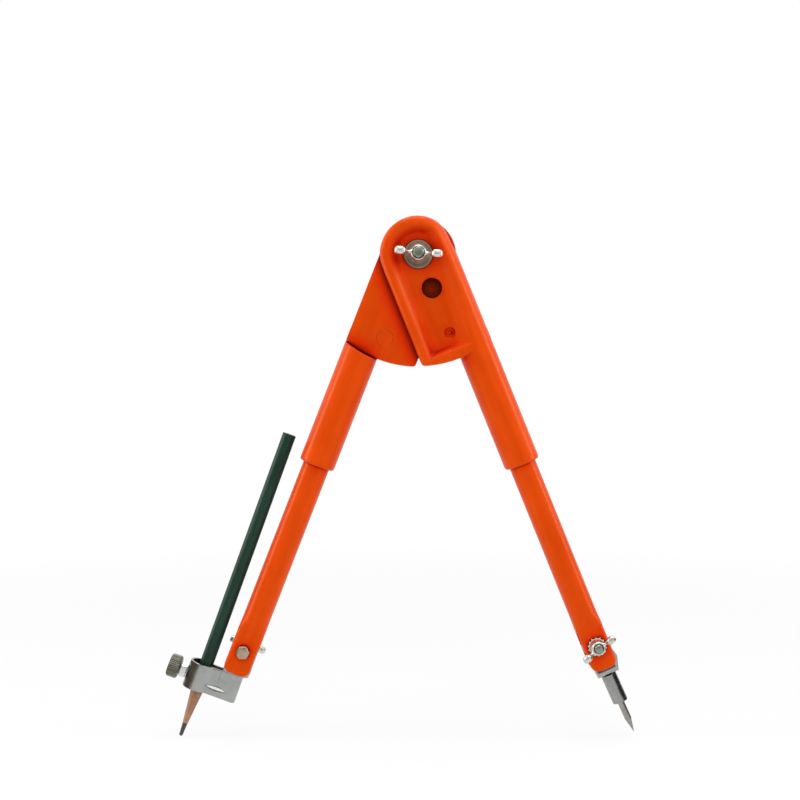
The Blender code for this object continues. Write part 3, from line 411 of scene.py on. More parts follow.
def skin(field_of, grids, name):
    """Mesh the zero surface of a field over a grid, one point to each cell that it crosses."""
    field = field_of(*np.meshgrid(*grids, indexing="ij", sparse=True))
    field = np.broadcast_to(field, [len(grid) for grid in grids]).astype(np.float32)
    inside = field < 0
    count = np.zeros([size - 1 for size in field.shape], dtype=np.int8)
    for corner in np.ndindex(2, 2, 2):
        count += inside[tuple(slice(first, size + first) for first, size in zip(corner, count.shape))]
    cells = np.argwhere((count > 0) & (count < 8))
    index = np.full(count.shape, -1, dtype=np.int64)
    index[tuple(cells.T)] = np.arange(len(cells))
    total = np.zeros((len(cells), 3))
    hits = np.zeros(len(cells))
    faces = []
    for axis, unit in enumerate(np.eye(3, dtype=int)):
        ring = [corner for corner in np.ndindex(2, 2, 2) if not corner[axis]]
        for corner in ring:
            ends = (cells + corner, cells + corner + unit)
            low, high = (field[tuple(end.T)].astype(float) for end in ends)
            crossed = ((low < 0) != (high < 0))[:, None]
            share = (low / np.where(low == high, 1.0, low - high))[:, None]
            near, far = (np.stack([grid[part] for grid, part in zip(grids, end.T)], axis=1) for end in ends)
            total += np.where(crossed, near + (far - near) * share, 0.0)
            hits += crossed[:, 0]
        within = tuple(slice(None) if other == axis else slice(1, -1) for other in range(3))
        change = np.diff(inside.astype(np.int8), axis=axis)[within]
        edges = np.argwhere(change)
        quad = np.stack([index[tuple((edges + ring[place]).T)] for place in (0, 2, 3, 1)], axis=1)
        flip = (change[tuple(edges.T)] > 0) ^ (axis == 1)
        quad[flip] = quad[flip][:, ::-1]
        faces.append(quad)
    points = total / hits[:, None]
    step = (grids[0][-1] - grids[0][0]) / len(grids[0]) / PROBE_SHARE
    for _ in range(PULLS):
        here = field_of(*points.T)
        slope = np.stack([
            (field_of(*(points + step * unit).T) - field_of(*(points - step * unit).T)) / (2 * step)
            for unit in np.eye(3)
        ], axis=1)
        steep = np.maximum((slope ** 2).sum(1), LEAST_SLOPE)
        points = points - slope * np.clip(here / steep, -PULL_REACH * step, PULL_REACH * step)[:, None]
    mesh = bpy.data.meshes.new(name)
    mesh.from_pydata(points.tolist(), [], np.concatenate(faces).tolist())
    mesh.update()
    return mesh


def thinned(mesh, share):
    """The same surface with fewer triangles."""
    carrier = bpy.data.objects.new("carrier", mesh)
    bpy.context.scene.collection.objects.link(carrier)
    carrier.modifiers.new("thin", "DECIMATE").ratio = share
    depsgraph = bpy.context.evaluated_depsgraph_get()
    result = bpy.data.meshes.new_from_object(carrier.evaluated_get(depsgraph))
    bpy.data.objects.remove(carrier, do_unlink=True)
    result.name = mesh.name
    return result


# Turned pieces and rows of points

def around(radius, angle, height):
    """The point at an angle about Z."""
    return radius * math.cos(angle), radius * math.sin(angle), height


def finished_mesh(shape, name):
    """A mesh of an edited shape, with its faces outwards."""
    bmesh.ops.recalc_face_normals(shape, faces=shape.faces)
    mesh = bpy.data.meshes.new(name)
    shape.to_mesh(mesh)
    shape.free()
    return mesh


def mesh_joined(name, *meshes):
    """Put meshes into one, each still a closed body."""
    shape = bmesh.new()
    for mesh in meshes:
        shape.from_mesh(mesh)
    return finished_mesh(shape, name)


def lofted(rows, name, slots=None, closed=False, capped=False):
    """Join closed rows of points, as a loop or as a run that may have caps.

    A row that is all one point is a pole. Slots are the materials along a row.
    """
    shape = bmesh.new()
    slots = slots or [0] * len(rows[0])
    rings = [[shape.verts.new(point) for point in row] if len(set(row)) > 1
             else [shape.verts.new(row[0])] * len(row) for row in rows]
    for near, far in zip(rings, rings[1:] + rings[:1] if closed else rings[1:]):
        for index, slot in enumerate(slots):
            following = (index + 1) % len(near)
            corners = dict.fromkeys((near[index], near[following], far[following], far[index]))
            if len(corners) > 2:
                shape.faces.new(list(corners)).material_index = slot
    for cap in (rings[0], rings[-1][::-1]) if capped else ():
        shape.faces.new(cap).material_index = slots[0]
    return finished_mesh(shape, name)


def stretch(start, end, steps, power=1.0):
    """Points from start to end in equal steps of radius, whose height follows a power."""
    shares = [step / steps for step in range(steps + 1)]
    return [(start[0] + (end[0] - start[0]) * share, start[1] + (end[1] - start[1]) * share ** power)
            for share in shares]


def rounded(profile, radius, steps=ROUND_STEPS):
    """Round the inner corners of an open profile of (radius, height) points."""
    points = [profile[0]]
    for before, corner, after in zip(profile, profile[1:], profile[2:]):
        corner = Vector(corner)
        back = Vector(before) - corner
        ahead = Vector(after) - corner
        reach = min(radius, back.length / 2, ahead.length / 2)
        start = corner + back.normalized() * reach
        end = corner + ahead.normalized() * reach
        for step in range(steps + 1):
            share = step / steps
            spot = start * (1 - share) ** 2 + corner * 2 * share * (1 - share) + end * share ** 2
            points.append((spot.x, spot.y))
    points.append(profile[-1])
    return points


def turned(profile, name, segments=TURN_SEGMENTS, limit=None, closed=False):
    """Turn a profile about Z. limit(radius, angle, height) may change the radius."""
    angles = [2 * math.pi * index / segments for index in range(segments)]
    rows = [[around(limit(radius, angle, height) if limit else radius, angle, height) for angle in angles]
            for radius, height in profile]
    return lofted(rows, name, closed=closed)


def ring_profile(inner, outer, low, high, radius):
    """Closed section of a ring with rounded corners."""
    corners = [(outer, low), (outer, high), (inner, high), (inner, low)]
    return rounded(corners[-1:] + corners + corners[:1], radius)[1:-1]


def hex_shape(flats, edge):
    """Limit a turned radius to a hexagon with slightly rounded corners."""
    def limit(radius, angle, _height):
        lean = (angle % (math.pi / 3)) - math.pi / 6
        corner = flats / 2 / math.cos(math.pi / 6) - edge
        return min(radius, corner, flats / 2 / math.cos(lean))
    return limit


def thread_shape(stem_radius, pitch, low, high):
    """Cut a thread into the stretch of a stem between low and high."""
    def groove(radius, angle, height):
        if not low <= height <= high or abs(radius - stem_radius) > METAL_EDGE / 10:
            return radius
        turn = (height / pitch - angle / (2 * math.pi)) % 1.0
        flank = min(1.0, THREAD_FLANK * abs(2 * turn - 1))
        ends = min(1.0, (height - low) / pitch, (high - height) / pitch)
        return radius - pitch * THREAD_DEPTH_SHARE * (1 - flank) * max(0.0, ends)
    return groove


def thread_rows(radius, low, high, pitch):
    """Profile points close enough together to carry a thread."""
    return stretch((radius, low), (radius, high), round((high - low) / pitch * THREAD_STEPS))


def arc(radius, start, end, steps, centre=(0.0, 0.0)):
    """Points on an arc between two angles in degrees."""
    points = []
    for step in range(steps + 1):
        angle = math.radians(start + (end - start) * step / steps)
        points.append((centre[0] + radius * math.cos(angle), centre[1] + radius * math.sin(angle)))
    return points


# Leg mouldings and rods

def eased(share):
    """Ease a share in and out between 0 and 1."""
    share = np.clip(share, 0.0, 1.0)
    return share * share * (3 - 2 * share)


def outer_round(x, z):
    """Edge radius: the round of the sleeve runs up the outer side and fades over the head."""
    aside = np.clip(x, 0.0, None) / np.maximum(np.hypot(x, np.maximum(z, 0.0)), TOUCH_GAP)
    return RIM_ROUND + (SLEEVE_RADIUS - RIM_ROUND) * eased(aside ** 2)


def front_height(x, z):
    """How far out the plate's front stands: its rim falls softly to the floor of the recess."""
    below = np.maximum(-z, 0.0)
    crown = (RECESS_CROWN - np.hypot(x, np.maximum(z, 0.0))) / RECESS_CROWN_SLOPE + below / RECESS_CROWN
    steep = eased((below - RECESS_STEEP_START) / (RECESS_STEEP_END - RECESS_STEEP_START))
    inner_slope = RECESS_INNER_SLOPE + (RECESS_INNER_STEEP - RECESS_INNER_SLOPE) * steep
    inner = (x + RECESS_INNER) / inner_slope
    run = RECESS_OUTER - RECESS_OUTER_END
    drop = RECESS_END - RECESS_TAPER_START
    taper = ((RECESS_OUTER - x) * drop + (z + RECESS_TAPER_START) * run) / math.hypot(run, drop)
    outer = soft_min(RECESS_OUTER - x, taper, CROWN_BLEND) / RECESS_OUTER_SLOPE
    end = (z + RECESS_END) / RECESS_END_SLOPE
    sides = soft_min(inner, outer, RECESS_CORNER_SHARE)
    share = soft_min(sides, soft_min(crown, end, RECESS_CORNER_SHARE), RECESS_CORNER_SHARE)
    crisp = steep * eased((RECESS_SOFT_SIDE - x) / RECESS_SOFT_SIDE)
    fall = eased(share) * (1 - crisp) + np.clip(share, 0.0, 1.0) ** 2 * crisp
    return PLATE_DEPTH - (PLATE_DEPTH - RECESS_FLOOR) * fall


def plate_field(x, out, z):
    """The plate with its rounded front edges."""
    top = out - PLATE_DEPTH
    crown = np.hypot(x, np.maximum(z, 0.0)) - BOSS_RADIUS - CROWN_FADE * np.maximum(-z, 0.0)
    sides = soft_max(-PLATE_INNER_EDGE - x, crown, CROWN_BLEND / 3)
    sides = soft_max(sides, x - LEG_AXIS_OFFSET - SLEEVE_RADIUS, CROWN_BLEND)
    end = np.where(z < 0, np.hypot(x, z) - PLATE_END_RADIUS, -PLATE_END_RADIUS)
    round_sides = rounded_corner(sides, top, outer_round(x, z))
    round_end = rounded_corner(end, top, RIM_END_ROUND)
    body = np.maximum(np.maximum(round_sides, round_end), soft_max(sides, end, PLATE_CORNER))
    return soft_max(body, MATING_CLEARANCE - out, EDGE_ROUND / 2)


def sleeve_field(x, y, z):
    """The round sleeve below the plate, cleared for the other leg's plate."""
    lip = np.clip((SLEEVE_LIP_LENGTH - SLEEVE_END - z) / SLEEVE_LIP_LENGTH, 0.0, 1.0)
    radius = SLEEVE_RADIUS - SLEEVE_LIP_INSET * (1 - np.sqrt(1 - lip ** 2 * SLEEVE_LIP_FULLNESS))
    body = np.hypot(x - LEG_AXIS_OFFSET, y) - radius
    body = soft_max(body, -SLEEVE_END - z, EDGE_ROUND)
    body = np.maximum(body, z + PLATE_END_RADIUS - SLEEVE_ROOT_LENGTH)
    sweep = np.maximum(np.hypot(x, z) - PLATE_END_RADIUS - SLEEVE_CLEARANCE, -y - SWEEP_OUT)
    return soft_max(body, -sweep, EDGE_ROUND)


def leg_field(x, y, z):
    """One leg moulding."""
    out = -y
    body = soft_min(plate_field(x, out, z), sleeve_field(x, y, z), EDGE_ROUND)
    body = np.maximum(body, (out - front_height(x, z)) * RECESS_FIELD_SHARE)
    hang = np.hypot(x, z + HANG_HOLE_DROP) - HANG_HOLE_RADIUS
    lip = np.hypot(hang - HOLE_LIP, out - RECESS_FLOOR) - HOLE_LIP
    body = soft_max(soft_min(body, lip, EDGE_ROUND), -hang, EDGE_ROUND)
    body = np.maximum(body, PIVOT_BORE - np.hypot(x, z))
    pocket = np.maximum(hexagon_field(x, z, HEAD_POCKET_FLATS), HEAD_POCKET_FLOOR - out)
    body = soft_max(body, -pocket, EDGE_ROUND)
    from_dimple = np.hypot(x, z + DIMPLE_DROP)
    bowl = RECESS_FLOOR - DIMPLE_DEPTH * np.sqrt(np.clip(1 - (from_dimple / DIMPLE_RADIUS) ** 2, 0, 1))
    dimple = np.where(from_dimple < DIMPLE_RADIUS * DIMPLE_REACH,
                      np.maximum(bowl - out, from_dimple - DIMPLE_RADIUS), 1.0)
    body = soft_max(body, -dimple, EDGE_ROUND)
    nub = np.sqrt(from_dimple ** 2 + (out - RECESS_FLOOR + DIMPLE_DEPTH) ** 2) - NUB_RADIUS
    body = soft_min(body, nub, EDGE_ROUND)
    socket = np.maximum(np.hypot(x - LEG_AXIS_OFFSET, y) - SOCKET_RADIUS, z + SOCKET_TOP)
    return np.maximum(body, -socket)


def leg_mesh():
    """The moulding that both legs share."""
    pad = PAD * MOULD_STEP
    plate_end = -PLATE_END_RADIUS - pad
    lip = SLEEVE_LIP_LENGTH - SLEEVE_END
    grids = (
        ladder((-PLATE_INNER_EDGE - pad, LEG_AXIS_OFFSET + SLEEVE_RADIUS + pad, MOULD_STEP)),
        ladder((-PLATE_DEPTH - pad, SLEEVE_RADIUS + pad, MOULD_STEP)),
        ladder((-SLEEVE_END - pad, lip, MOULD_STEP), (lip, plate_end, LONG_STEP),
               (plate_end, BOSS_RADIUS + pad, MOULD_STEP)),
    )
    return thinned(skin(leg_field, grids, "leg_moulding"), MOULD_KEPT)


def rod_field(x, y, z):
    """Lower leg: a round rod that flattens into a slotted fork with a rounded end."""
    slot_top = FORK_SLOT_ABOVE_SWIVEL - SWIVEL_DROP
    flat = eased(1 - (z - slot_top) / FORK_BLEND)
    half_depth = ROD_RADIUS + (FORK_FACE_OUT - ROD_RADIUS) * flat
    corner = ROD_RADIUS + (FORK_CORNER - ROD_RADIUS) * flat
    body = rounded_corner(np.abs(x) - ROD_RADIUS, np.abs(y) - half_depth, corner)
    body = soft_max(body, z + ROD_TOP, EDGE_ROUND)
    end = SWIVEL_DROP + ROD_END_BEYOND_SWIVEL
    tip = rounded_corner(np.abs(x) - ROD_RADIUS, -end - z, ROD_END_ROUND)
    blend = 2 * EDGE_ROUND * np.clip((ROD_END_ROUND - end - z) / ROD_END_ROUND, ROD_END_LEAST_BLEND, 1.0)
    body = soft_max(body, tip, blend)
    slot = soft_max(np.abs(y) - FORK_SLOT_WIDTH / 2, z - slot_top, EDGE_ROUND)
    body = soft_max(body, -slot, EDGE_ROUND)
    return np.maximum(body, SWIVEL_BORE - np.hypot(x, z + SWIVEL_DROP))


def rod_mesh():
    """The lower leg that both legs share."""
    pad = PAD * ROD_STEP
    across = ladder((-ROD_RADIUS - pad, ROD_RADIUS + pad, ROD_STEP))
    end = -SWIVEL_DROP - ROD_END_BEYOND_SWIVEL - pad
    fork_top = FORK_SLOT_ABOVE_SWIVEL + FORK_BLEND - SWIVEL_DROP + pad
    down = ladder((end, fork_top, ROD_STEP), (fork_top, -ROD_TOP - pad, 4 * LONG_STEP),
                  (-ROD_TOP - pad, pad - ROD_TOP, ROD_STEP))
    return skin(rod_field, (across, across, down), "leg_rod")


# Nuts, bolts and washers

def wing_nut_mesh(sizes, name):
    """Cast wing nut about Z, standing on zero: a hub and two wings with full tips."""
    hub, height = sizes.hub, sizes.hub_height
    half_span = sizes.wing_span / 2
    tip_x = half_span - WING_PAD_SHARES[0] * hub
    tip_z = height / 2 + sizes.wing_rise * WING_TIP_SHARE
    root_x = hub * WING_ROOT_REACH
    root_z = height * WING_ROOT_HEIGHT

    def field(x, y, z):
        along = np.abs(x)
        body = np.hypot(x, y) - hub * (1 - HUB_TAPER * np.clip(z / height, 0.0, 1.0))
        body = soft_max(body, z - height, 4 * METAL_EDGE)
        body = soft_max(body, -z, METAL_EDGE)
        spot = (np.abs(along - tip_x), np.abs(y), np.abs(z - tip_z))
        reaches = [(place / (share * hub)) ** WING_PAD_POWER for place, share in zip(spot, WING_PAD_SHARES)]
        tip = (sum(reaches) ** (1 / WING_PAD_POWER) - 1) * WING_PAD_SHARES[1] * hub
        reach = np.clip((along - root_x) / (tip_x - root_x), 0.0, 1.0)
        neck_x = root_x + (tip_x - root_x) * reach
        neck_z = root_z + (tip_z - root_z) * reach
        neck = np.sqrt((along - neck_x) ** 2 + (y * NECK_FLATTEN) ** 2 + ((z - neck_z) * NECK_STRETCH) ** 2)
        neck = neck - height * (NECK_SHARE - NECK_THINNING * reach)
        body = soft_min(body, soft_min(tip, neck, hub * NECK_BLEND), hub * HUB_BLEND)
        return soft_max(np.maximum(body, -z), sizes.stem + BOLT_CLEARANCE - np.hypot(x, y), METAL_EDGE)

    pad = PAD * NUT_STEP
    grids = (
        ladder((-half_span - 2 * pad, half_span + 2 * pad, NUT_STEP)),
        ladder((-hub - pad, hub + pad, NUT_STEP)),
        ladder((-pad, height + sizes.wing_rise + 2 * pad, NUT_STEP)),
    )
    return thinned(skin(field, grids, name), NUT_KEPT)


def bolt_mesh(sizes, length, name):
    """Hex bolt about Z: the head lies below zero and the threaded stem rises to length."""
    corner = sizes.flats / 2 / math.cos(math.pi / 6)
    face = sizes.flats / 2 * HEAD_FACE_SHARE
    head = [(0, -sizes.head)]
    head += stretch((face, -sizes.head), (corner, HEAD_CHAMFER - sizes.head), CHAMFER_STEPS,
                    HEAD_CHAMFER_POWER)
    head += [(corner, -sizes.head / 2), (corner, -METAL_EDGE / 2), (corner - METAL_EDGE / 2, 0), (0, 0)]
    head_mesh = turned(head, name + "_head", FINE_SEGMENTS, hex_shape(sizes.flats, METAL_EDGE / 2))
    low = -sizes.head / 2
    high = length - 2 * METAL_EDGE
    stem = [(0, low)] + thread_rows(sizes.stem, low, high, sizes.pitch)
    stem += [(sizes.stem - METAL_EDGE, length - METAL_EDGE / 2), (sizes.stem - 2 * METAL_EDGE, length),
             (0, length)]
    stem_mesh = turned(stem, name + "_stem", TURN_SEGMENTS // 2,
                       thread_shape(sizes.stem, sizes.pitch, length * THREAD_START_SHARE, high))
    return mesh_joined(name, head_mesh, stem_mesh)


def toothed_shape(outer):
    """Notch the rim of a washer into teeth."""
    def notch(radius, angle, _height):
        if radius < outer - 2 * SWIVEL_WASHER_TOOTH:
            return radius
        wave = 0.5 - 0.5 * math.cos(angle * SWIVEL_WASHER_TEETH)
        return radius - SWIVEL_WASHER_TOOTH * min(1.0, TOOTH_FLANK * wave)
    return notch


def spring_washer_mesh():
    """Split ring about Z whose ends stand slightly apart."""
    section = ring_profile(PIVOT_BORE, SPRING_WASHER_RADIUS, 0,
                           SPRING_WASHER_THICKNESS * (1 - SPRING_WASHER_LIFT), METAL_EDGE)
    start = math.radians(SPRING_WASHER_SPLIT / 2)
    rows = []
    for index in range(TURN_SEGMENTS + 1):
        share = index / TURN_SEGMENTS
        angle = start + (2 * math.pi - 2 * start) * share
        lift = SPRING_WASHER_THICKNESS * SPRING_WASHER_LIFT * share
        rows.append([around(radius, angle, height + lift) for radius, height in section])
    return lofted(rows, "spring_washer_mesh", capped=True)


# Sheet metal

def bracket_mesh():
    """U of sheet metal with two round arms, each with an ear."""
    base, bottom, half = NEEDLE_BRACKET_BASE, NEEDLE_BRACKET_BOTTOM, NEEDLE_BRACKET_HALF_WIDTH
    window_middle = NEEDLE_WINDOW_LIP - base + NEEDLE_WINDOW_HEIGHT / 2
    tangent = math.degrees(math.asin((BRACKET_DISC_RADIUS - half) / base))
    outline = arc(BRACKET_DISC_RADIUS, -BRACKET_EAR_START, 180.0 + tangent, TURN_SEGMENTS // 2)
    outline += [(-half, -base), (-half, -bottom), (half, -bottom), (half, -base)]
    outline += arc(BRACKET_EAR_ROUND, -BRACKET_EAR_START, BRACKET_EAR_START, 2 * ROUND_STEPS,
                   (BRACKET_EAR_REACH - BRACKET_EAR_ROUND, -BRACKET_EAR_DROP))

    def field(x, y, z):
        face = polygon_field(outline, x, z)
        across = np.abs(y)
        shell = rounded_corner(across - TONGUE_OUT, -bottom - z, BRACKET_BEND)
        inside = rounded_corner(across - TONGUE_OUT + SHEET_THICKNESS, -base - z, BRACKET_BEND / 2)
        body = soft_max(face, np.maximum(shell, -inside), SHEET_EDGE)
        body = soft_max(body, SWIVEL_BORE - np.hypot(x, z), SHEET_EDGE)
        window = np.maximum(np.abs(x) - NEEDLE_WINDOW_HALF_WIDTH,
                            np.abs(z - window_middle) - NEEDLE_WINDOW_HEIGHT / 2)
        body = soft_max(body, -window, SHEET_EDGE)
        return np.maximum(body, NEEDLE_SPIGOT_RADIUS + TOUCH_GAP - np.hypot(x, y))

    pad = PAD * SHEET_STEP
    disc = BRACKET_DISC_RADIUS + pad
    grids = (
        ladder((-disc, BRACKET_EAR_REACH + pad, SHEET_STEP)),
        ladder((-TONGUE_OUT - pad, TONGUE_OUT + pad, SHEET_STEP)),
        ladder((-bottom - pad, disc, SHEET_STEP)),
    )
    return thinned(skin(field, grids, "bracket"), SHEET_KEPT)


def band_round(x, y):
    """Distance to the outside of the clamp band: a loop with a folded neck."""
    centre = BAND_OUTER_END - BAND_LOOP_RADIUS
    loop = np.hypot(x - centre, y) - BAND_LOOP_RADIUS
    neck = rounded_corner(np.abs(y) - TONGUE_OUT, -BAND_INNER_END - x, BAND_FOLD_RADIUS)
    return soft_min(loop, np.maximum(neck, x - centre), BAND_FILLET)


def lance_outline():
    """Lens shaped slot in the front wall of the band, in (x, z)."""
    half = LANCE_LENGTH / 2
    low = LANCE_HEIGHT / 2
    bow = (half ** 2 + low ** 2) / (2 * low)
    sweep = math.degrees(math.asin(half / bow))
    upper = arc(bow, 90.0 + sweep, 90.0 - sweep, 4 * ROUND_STEPS, (LANCE_CENTRE, low - bow - LANCE_DROP))
    return upper + [(x, -2 * LANCE_DROP - z) for x, z in reversed(upper[1:-1])]


def band_mesh():
    """One stamping: a loop round the pencil with two round tongues into the fork."""
    lap = (BAND_TOP + BAND_BOTTOM) / 2
    inner_side = BAND_FOLD_RADIUS - BAND_INNER_END
    tongue = arc(BAND_TONGUE_RADIUS, -BAND_NECK_ANGLE, 180.0 + BAND_NECK_ANGLE, TURN_SEGMENTS // 2) + [
        (-BAND_SHOULDER, SHEET_THICKNESS - BAND_TOP),
        (inner_side, -BAND_TOP - SHEET_THICKNESS),
        (inner_side, -lap),
        (BAND_SHOULDER, -lap),
        (BAND_SHOULDER, -BAND_TOP),
    ]
    slot = lance_outline()
    half_sheet = SHEET_THICKNESS / 2

    def field(x, y, z):
        wall = np.abs(band_round(x, y) + half_sheet) - half_sheet
        loop = soft_max(wall, np.abs(z + lap) - (BAND_BOTTOM - BAND_TOP) / 2, SHEET_EDGE)
        sheet = np.abs(np.abs(y) - TONGUE_OUT + half_sheet) - half_sheet
        tongues = soft_max(polygon_field(tongue, x, z), sheet, SHEET_EDGE)
        body = soft_min(loop, tongues, SHEET_EDGE)
        body = soft_max(body, SWIVEL_BORE - np.hypot(x, z), SHEET_EDGE)
        screw = np.hypot(y, z + CLAMP_SCREW_DROP) - CLAMP_SCREW_RADIUS - BOLT_CLEARANCE
        body = np.maximum(body, -np.maximum(screw, BAND_OUTER_END / 2 - x))
        cut = np.maximum(polygon_field(slot, x, z), -y)
        return soft_max(body, -cut, SHEET_EDGE / 2)

    pad = PAD * SHEET_STEP
    disc = BAND_TONGUE_RADIUS + pad
    grids = (
        ladder((-disc, BAND_OUTER_END + pad, SHEET_STEP)),
        ladder((-BAND_LOOP_RADIUS - pad, BAND_LOOP_RADIUS + pad, SHEET_STEP)),
        ladder((-BAND_BOTTOM - pad, disc, SHEET_STEP)),
    )
    return thinned(skin(field, grids, "band"), SHEET_KEPT)


def lance_strip_mesh():
    """Strip of the band's wall that is pressed inwards and tilted up in the slot."""
    rows = []
    for index in range(LANCE_STEPS + 1):
        share = 2 * index / LANCE_STEPS - 1
        x = LANCE_CENTRE + LANCE_LENGTH / 2 * LANCE_STRIP_REACH * share
        half_height = LANCE_STRIP_END + (LANCE_STRIP_MIDDLE - LANCE_STRIP_END) * (1 - share ** 2)
        row = []
        for side, thick in ((-1, -1), (1, -1), (1, 1), (-1, 1)):
            lean = side * half_height * LANCE_STRIP_TILT
            inset = SHEET_THICKNESS * LANCE_STRIP_THICKNESS * (1 - thick)
            row.append((x, TONGUE_OUT - LANCE_STRIP_SINK - lean - inset, side * half_height - LANCE_DROP))
        rows.append(row)
    # Its faces take the band's slot 1, a near-white finish that paints a highlight on the strip.
    return lofted(rows, "lance_strip", [1] * 4, capped=True)


# Needle, knob and pencil

def needle_body_mesh():
    """Turned needle holder with its rivet."""
    rivet = TOUCH_GAP - NEEDLE_BRACKET_BASE
    neck = -NEEDLE_BRACKET_BOTTOM - TOUCH_GAP
    mouth = NEEDLE_RADIUS + TOUCH_GAP
    profile = rounded([
        (0, rivet + NEEDLE_RIVET_HEIGHT),
        (NEEDLE_RIVET_RADIUS, rivet + NEEDLE_RIVET_HEIGHT),
        (NEEDLE_RIVET_RADIUS, rivet),
        (NEEDLE_SPIGOT_RADIUS, rivet),
        (NEEDLE_SPIGOT_RADIUS, neck),
        (NEEDLE_BODY_RADIUS, neck),
        (NEEDLE_BODY_RADIUS, -NEEDLE_BODY_END),
        (mouth, -NEEDLE_BODY_END),
        (mouth, NEEDLE_SOCKET_DEPTH - NEEDLE_BODY_END),
        (0, NEEDLE_SOCKET_DEPTH - NEEDLE_BODY_END),
    ], METAL_EDGE)
    return turned(profile, "needle_body")


def needle_mesh():
    """Ground steel point."""
    top = NEEDLE_SOCKET_DEPTH - NEEDLE_BODY_END - TOUCH_GAP
    shoulder = -NEEDLE_BODY_END - NEEDLE_STRAIGHT
    tip = shoulder - NEEDLE_CONE
    cone = stretch((NEEDLE_RADIUS, shoulder), (NEEDLE_TIP_RADIUS, tip), NEEDLE_CONE_STEPS)
    return turned([(0, top), (NEEDLE_RADIUS, top), *cone, (0, tip)], "needle_point", TURN_SEGMENTS // 2)


def knob_mesh():
    """Straight knurled knob about Z with a shallow dished face."""
    def knurl(radius, angle, _height):
        if radius < KNOB_RADIUS - METAL_EDGE / 10:
            return radius
        wave = abs(math.sin(angle * KNOB_TEETH / 2))
        return radius - KNOB_GROOVE * (1 - wave) ** KNOB_GROOVE_POWER

    hole = CLAMP_SCREW_RADIUS + TOUCH_GAP
    shoulder = KNOB_RADIUS - KNOB_CHAMFER
    profile = [
        (hole, 0),
        (shoulder, 0),
        *stretch((KNOB_RADIUS, KNOB_CHAMFER), (KNOB_RADIUS, KNOB_LENGTH - KNOB_CHAMFER), ROUND_STEPS),
        (shoulder, KNOB_LENGTH),
        (KNOB_RADIUS * KNOB_DISH_SHARES[0], KNOB_LENGTH),
        (KNOB_RADIUS * KNOB_DISH_SHARES[1], KNOB_LENGTH - METAL_EDGE),
        (0, KNOB_LENGTH - METAL_EDGE),
        (0, KNOB_SOCKET_DEPTH),
        (hole, KNOB_SOCKET_DEPTH),
    ]
    return turned(profile, "knob", KNOB_TEETH * 6, knurl)


def clamp_nut_mesh():
    """Hex nut on the outer end of the band."""
    corner = CLAMP_NUT_FLATS / 2 / math.cos(math.pi / 6)
    bore = CLAMP_SCREW_RADIUS + BOLT_CLEARANCE
    face = CLAMP_NUT_FLATS * CLAMP_NUT_FACE_SHARE
    top = CLAMP_NUT_THICKNESS
    profile = [(bore, 0), (corner - METAL_EDGE, 0), (corner, METAL_EDGE)]
    profile += stretch((corner, top - HEAD_CHAMFER), (face, top), CHAMFER_STEPS, CLAMP_NUT_CHAMFER_POWER)
    profile += [(bore + METAL_EDGE, top), (bore, top - METAL_EDGE)]
    return turned(profile, "clamp_nut_fine", FINE_SEGMENTS, hex_shape(CLAMP_NUT_FLATS, METAL_EDGE / 2), True)


def clamp_screw_mesh(length):
    """Thumb screw stem about Z, its tip at zero."""
    rows = thread_rows(CLAMP_SCREW_RADIUS, CLAMP_SCREW_TIP_LENGTH, length, CLAMP_SCREW_PITCH)
    return turned([(0, 0), (CLAMP_SCREW_TIP_RADIUS, 0)] + rows + [(0, length)], "clamp_screw_fine",
                  TURN_SEGMENTS // 2,
                  thread_shape(CLAMP_SCREW_RADIUS, CLAMP_SCREW_PITCH, CLAMP_SCREW_TIP_LENGTH, length))


def pencil_mesh():
    """Sharpened hexagonal casing. Its hexagon is lacquered and its cone is bare wood."""
    limit = hex_shape(2 * PENCIL_CORNER_RADIUS * math.cos(math.pi / 6), PENCIL_EDGE)
    slope = math.tan(math.radians(SHARPENED_HALF_ANGLE))
    wood_end = PENCIL_TIP_DROP - LEAD_EXPOSED
    top = PENCIL_ABOVE_SWIVEL
    rows = []
    for index in range(TURN_SEGMENTS):
        angle = 2 * math.pi * index / TURN_SEGMENTS
        side = limit(1.0, angle, 0)
        start = (side - WOOD_EDGE_RADIUS) / slope - wood_end
        column = [(LEAD_CORE_RADIUS, top - METAL_EDGE / 2), (LEAD_CORE_RADIUS * LEAD_RIM_SHARE, top),
                  (side - METAL_EDGE, top), (side - METAL_EDGE / 4, top - METAL_EDGE / 2),
                  (side, top - METAL_EDGE * 1.5)]
        lacquer_start = column.index((side - METAL_EDGE, top))
        column += stretch((side, top), (side, start), PENCIL_STEPS)[1:]
        lacquer_end = len(column) - 1
        column += stretch((side, start), (WOOD_EDGE_RADIUS, -wood_end), CONE_STEPS)[1:]
        column += [(LEAD_CORE_RADIUS, -wood_end), (LEAD_CORE_RADIUS, METAL_EDGE - wood_end)]
        rows.append([around(radius, angle, height) for radius, height in column])
    slots = [0 if lacquer_start <= row < lacquer_end else 1 for row in range(len(rows[0]))]
    return lofted(rows, "pencil_casing_fine", slots, closed=True)


def lead_mesh():
    """Graphite core with its worn point."""
    shoulder = PENCIL_TIP_DROP - LEAD_EXPOSED + TOUCH_GAP
    top = PENCIL_ABOVE_SWIVEL - METAL_EDGE
    core = LEAD_CORE_RADIUS * LEAD_FIT_SHARE
    profile = [(0, top), (core, top), (core, -shoulder), (LEAD_SHOULDER_RADIUS, -shoulder)]
    for angle in map(math.radians, LEAD_TIP_ANGLES):
        profile.append((LEAD_TIP_RADIUS * math.cos(angle),
                        -PENCIL_TIP_DROP + LEAD_TIP_RADIUS * LEAD_TIP_FLATNESS * (1 - math.sin(angle))))
    return turned(profile + [(0, -PENCIL_TIP_DROP)], "pencil_lead_fine", TURN_SEGMENTS // 2)


# Finishes

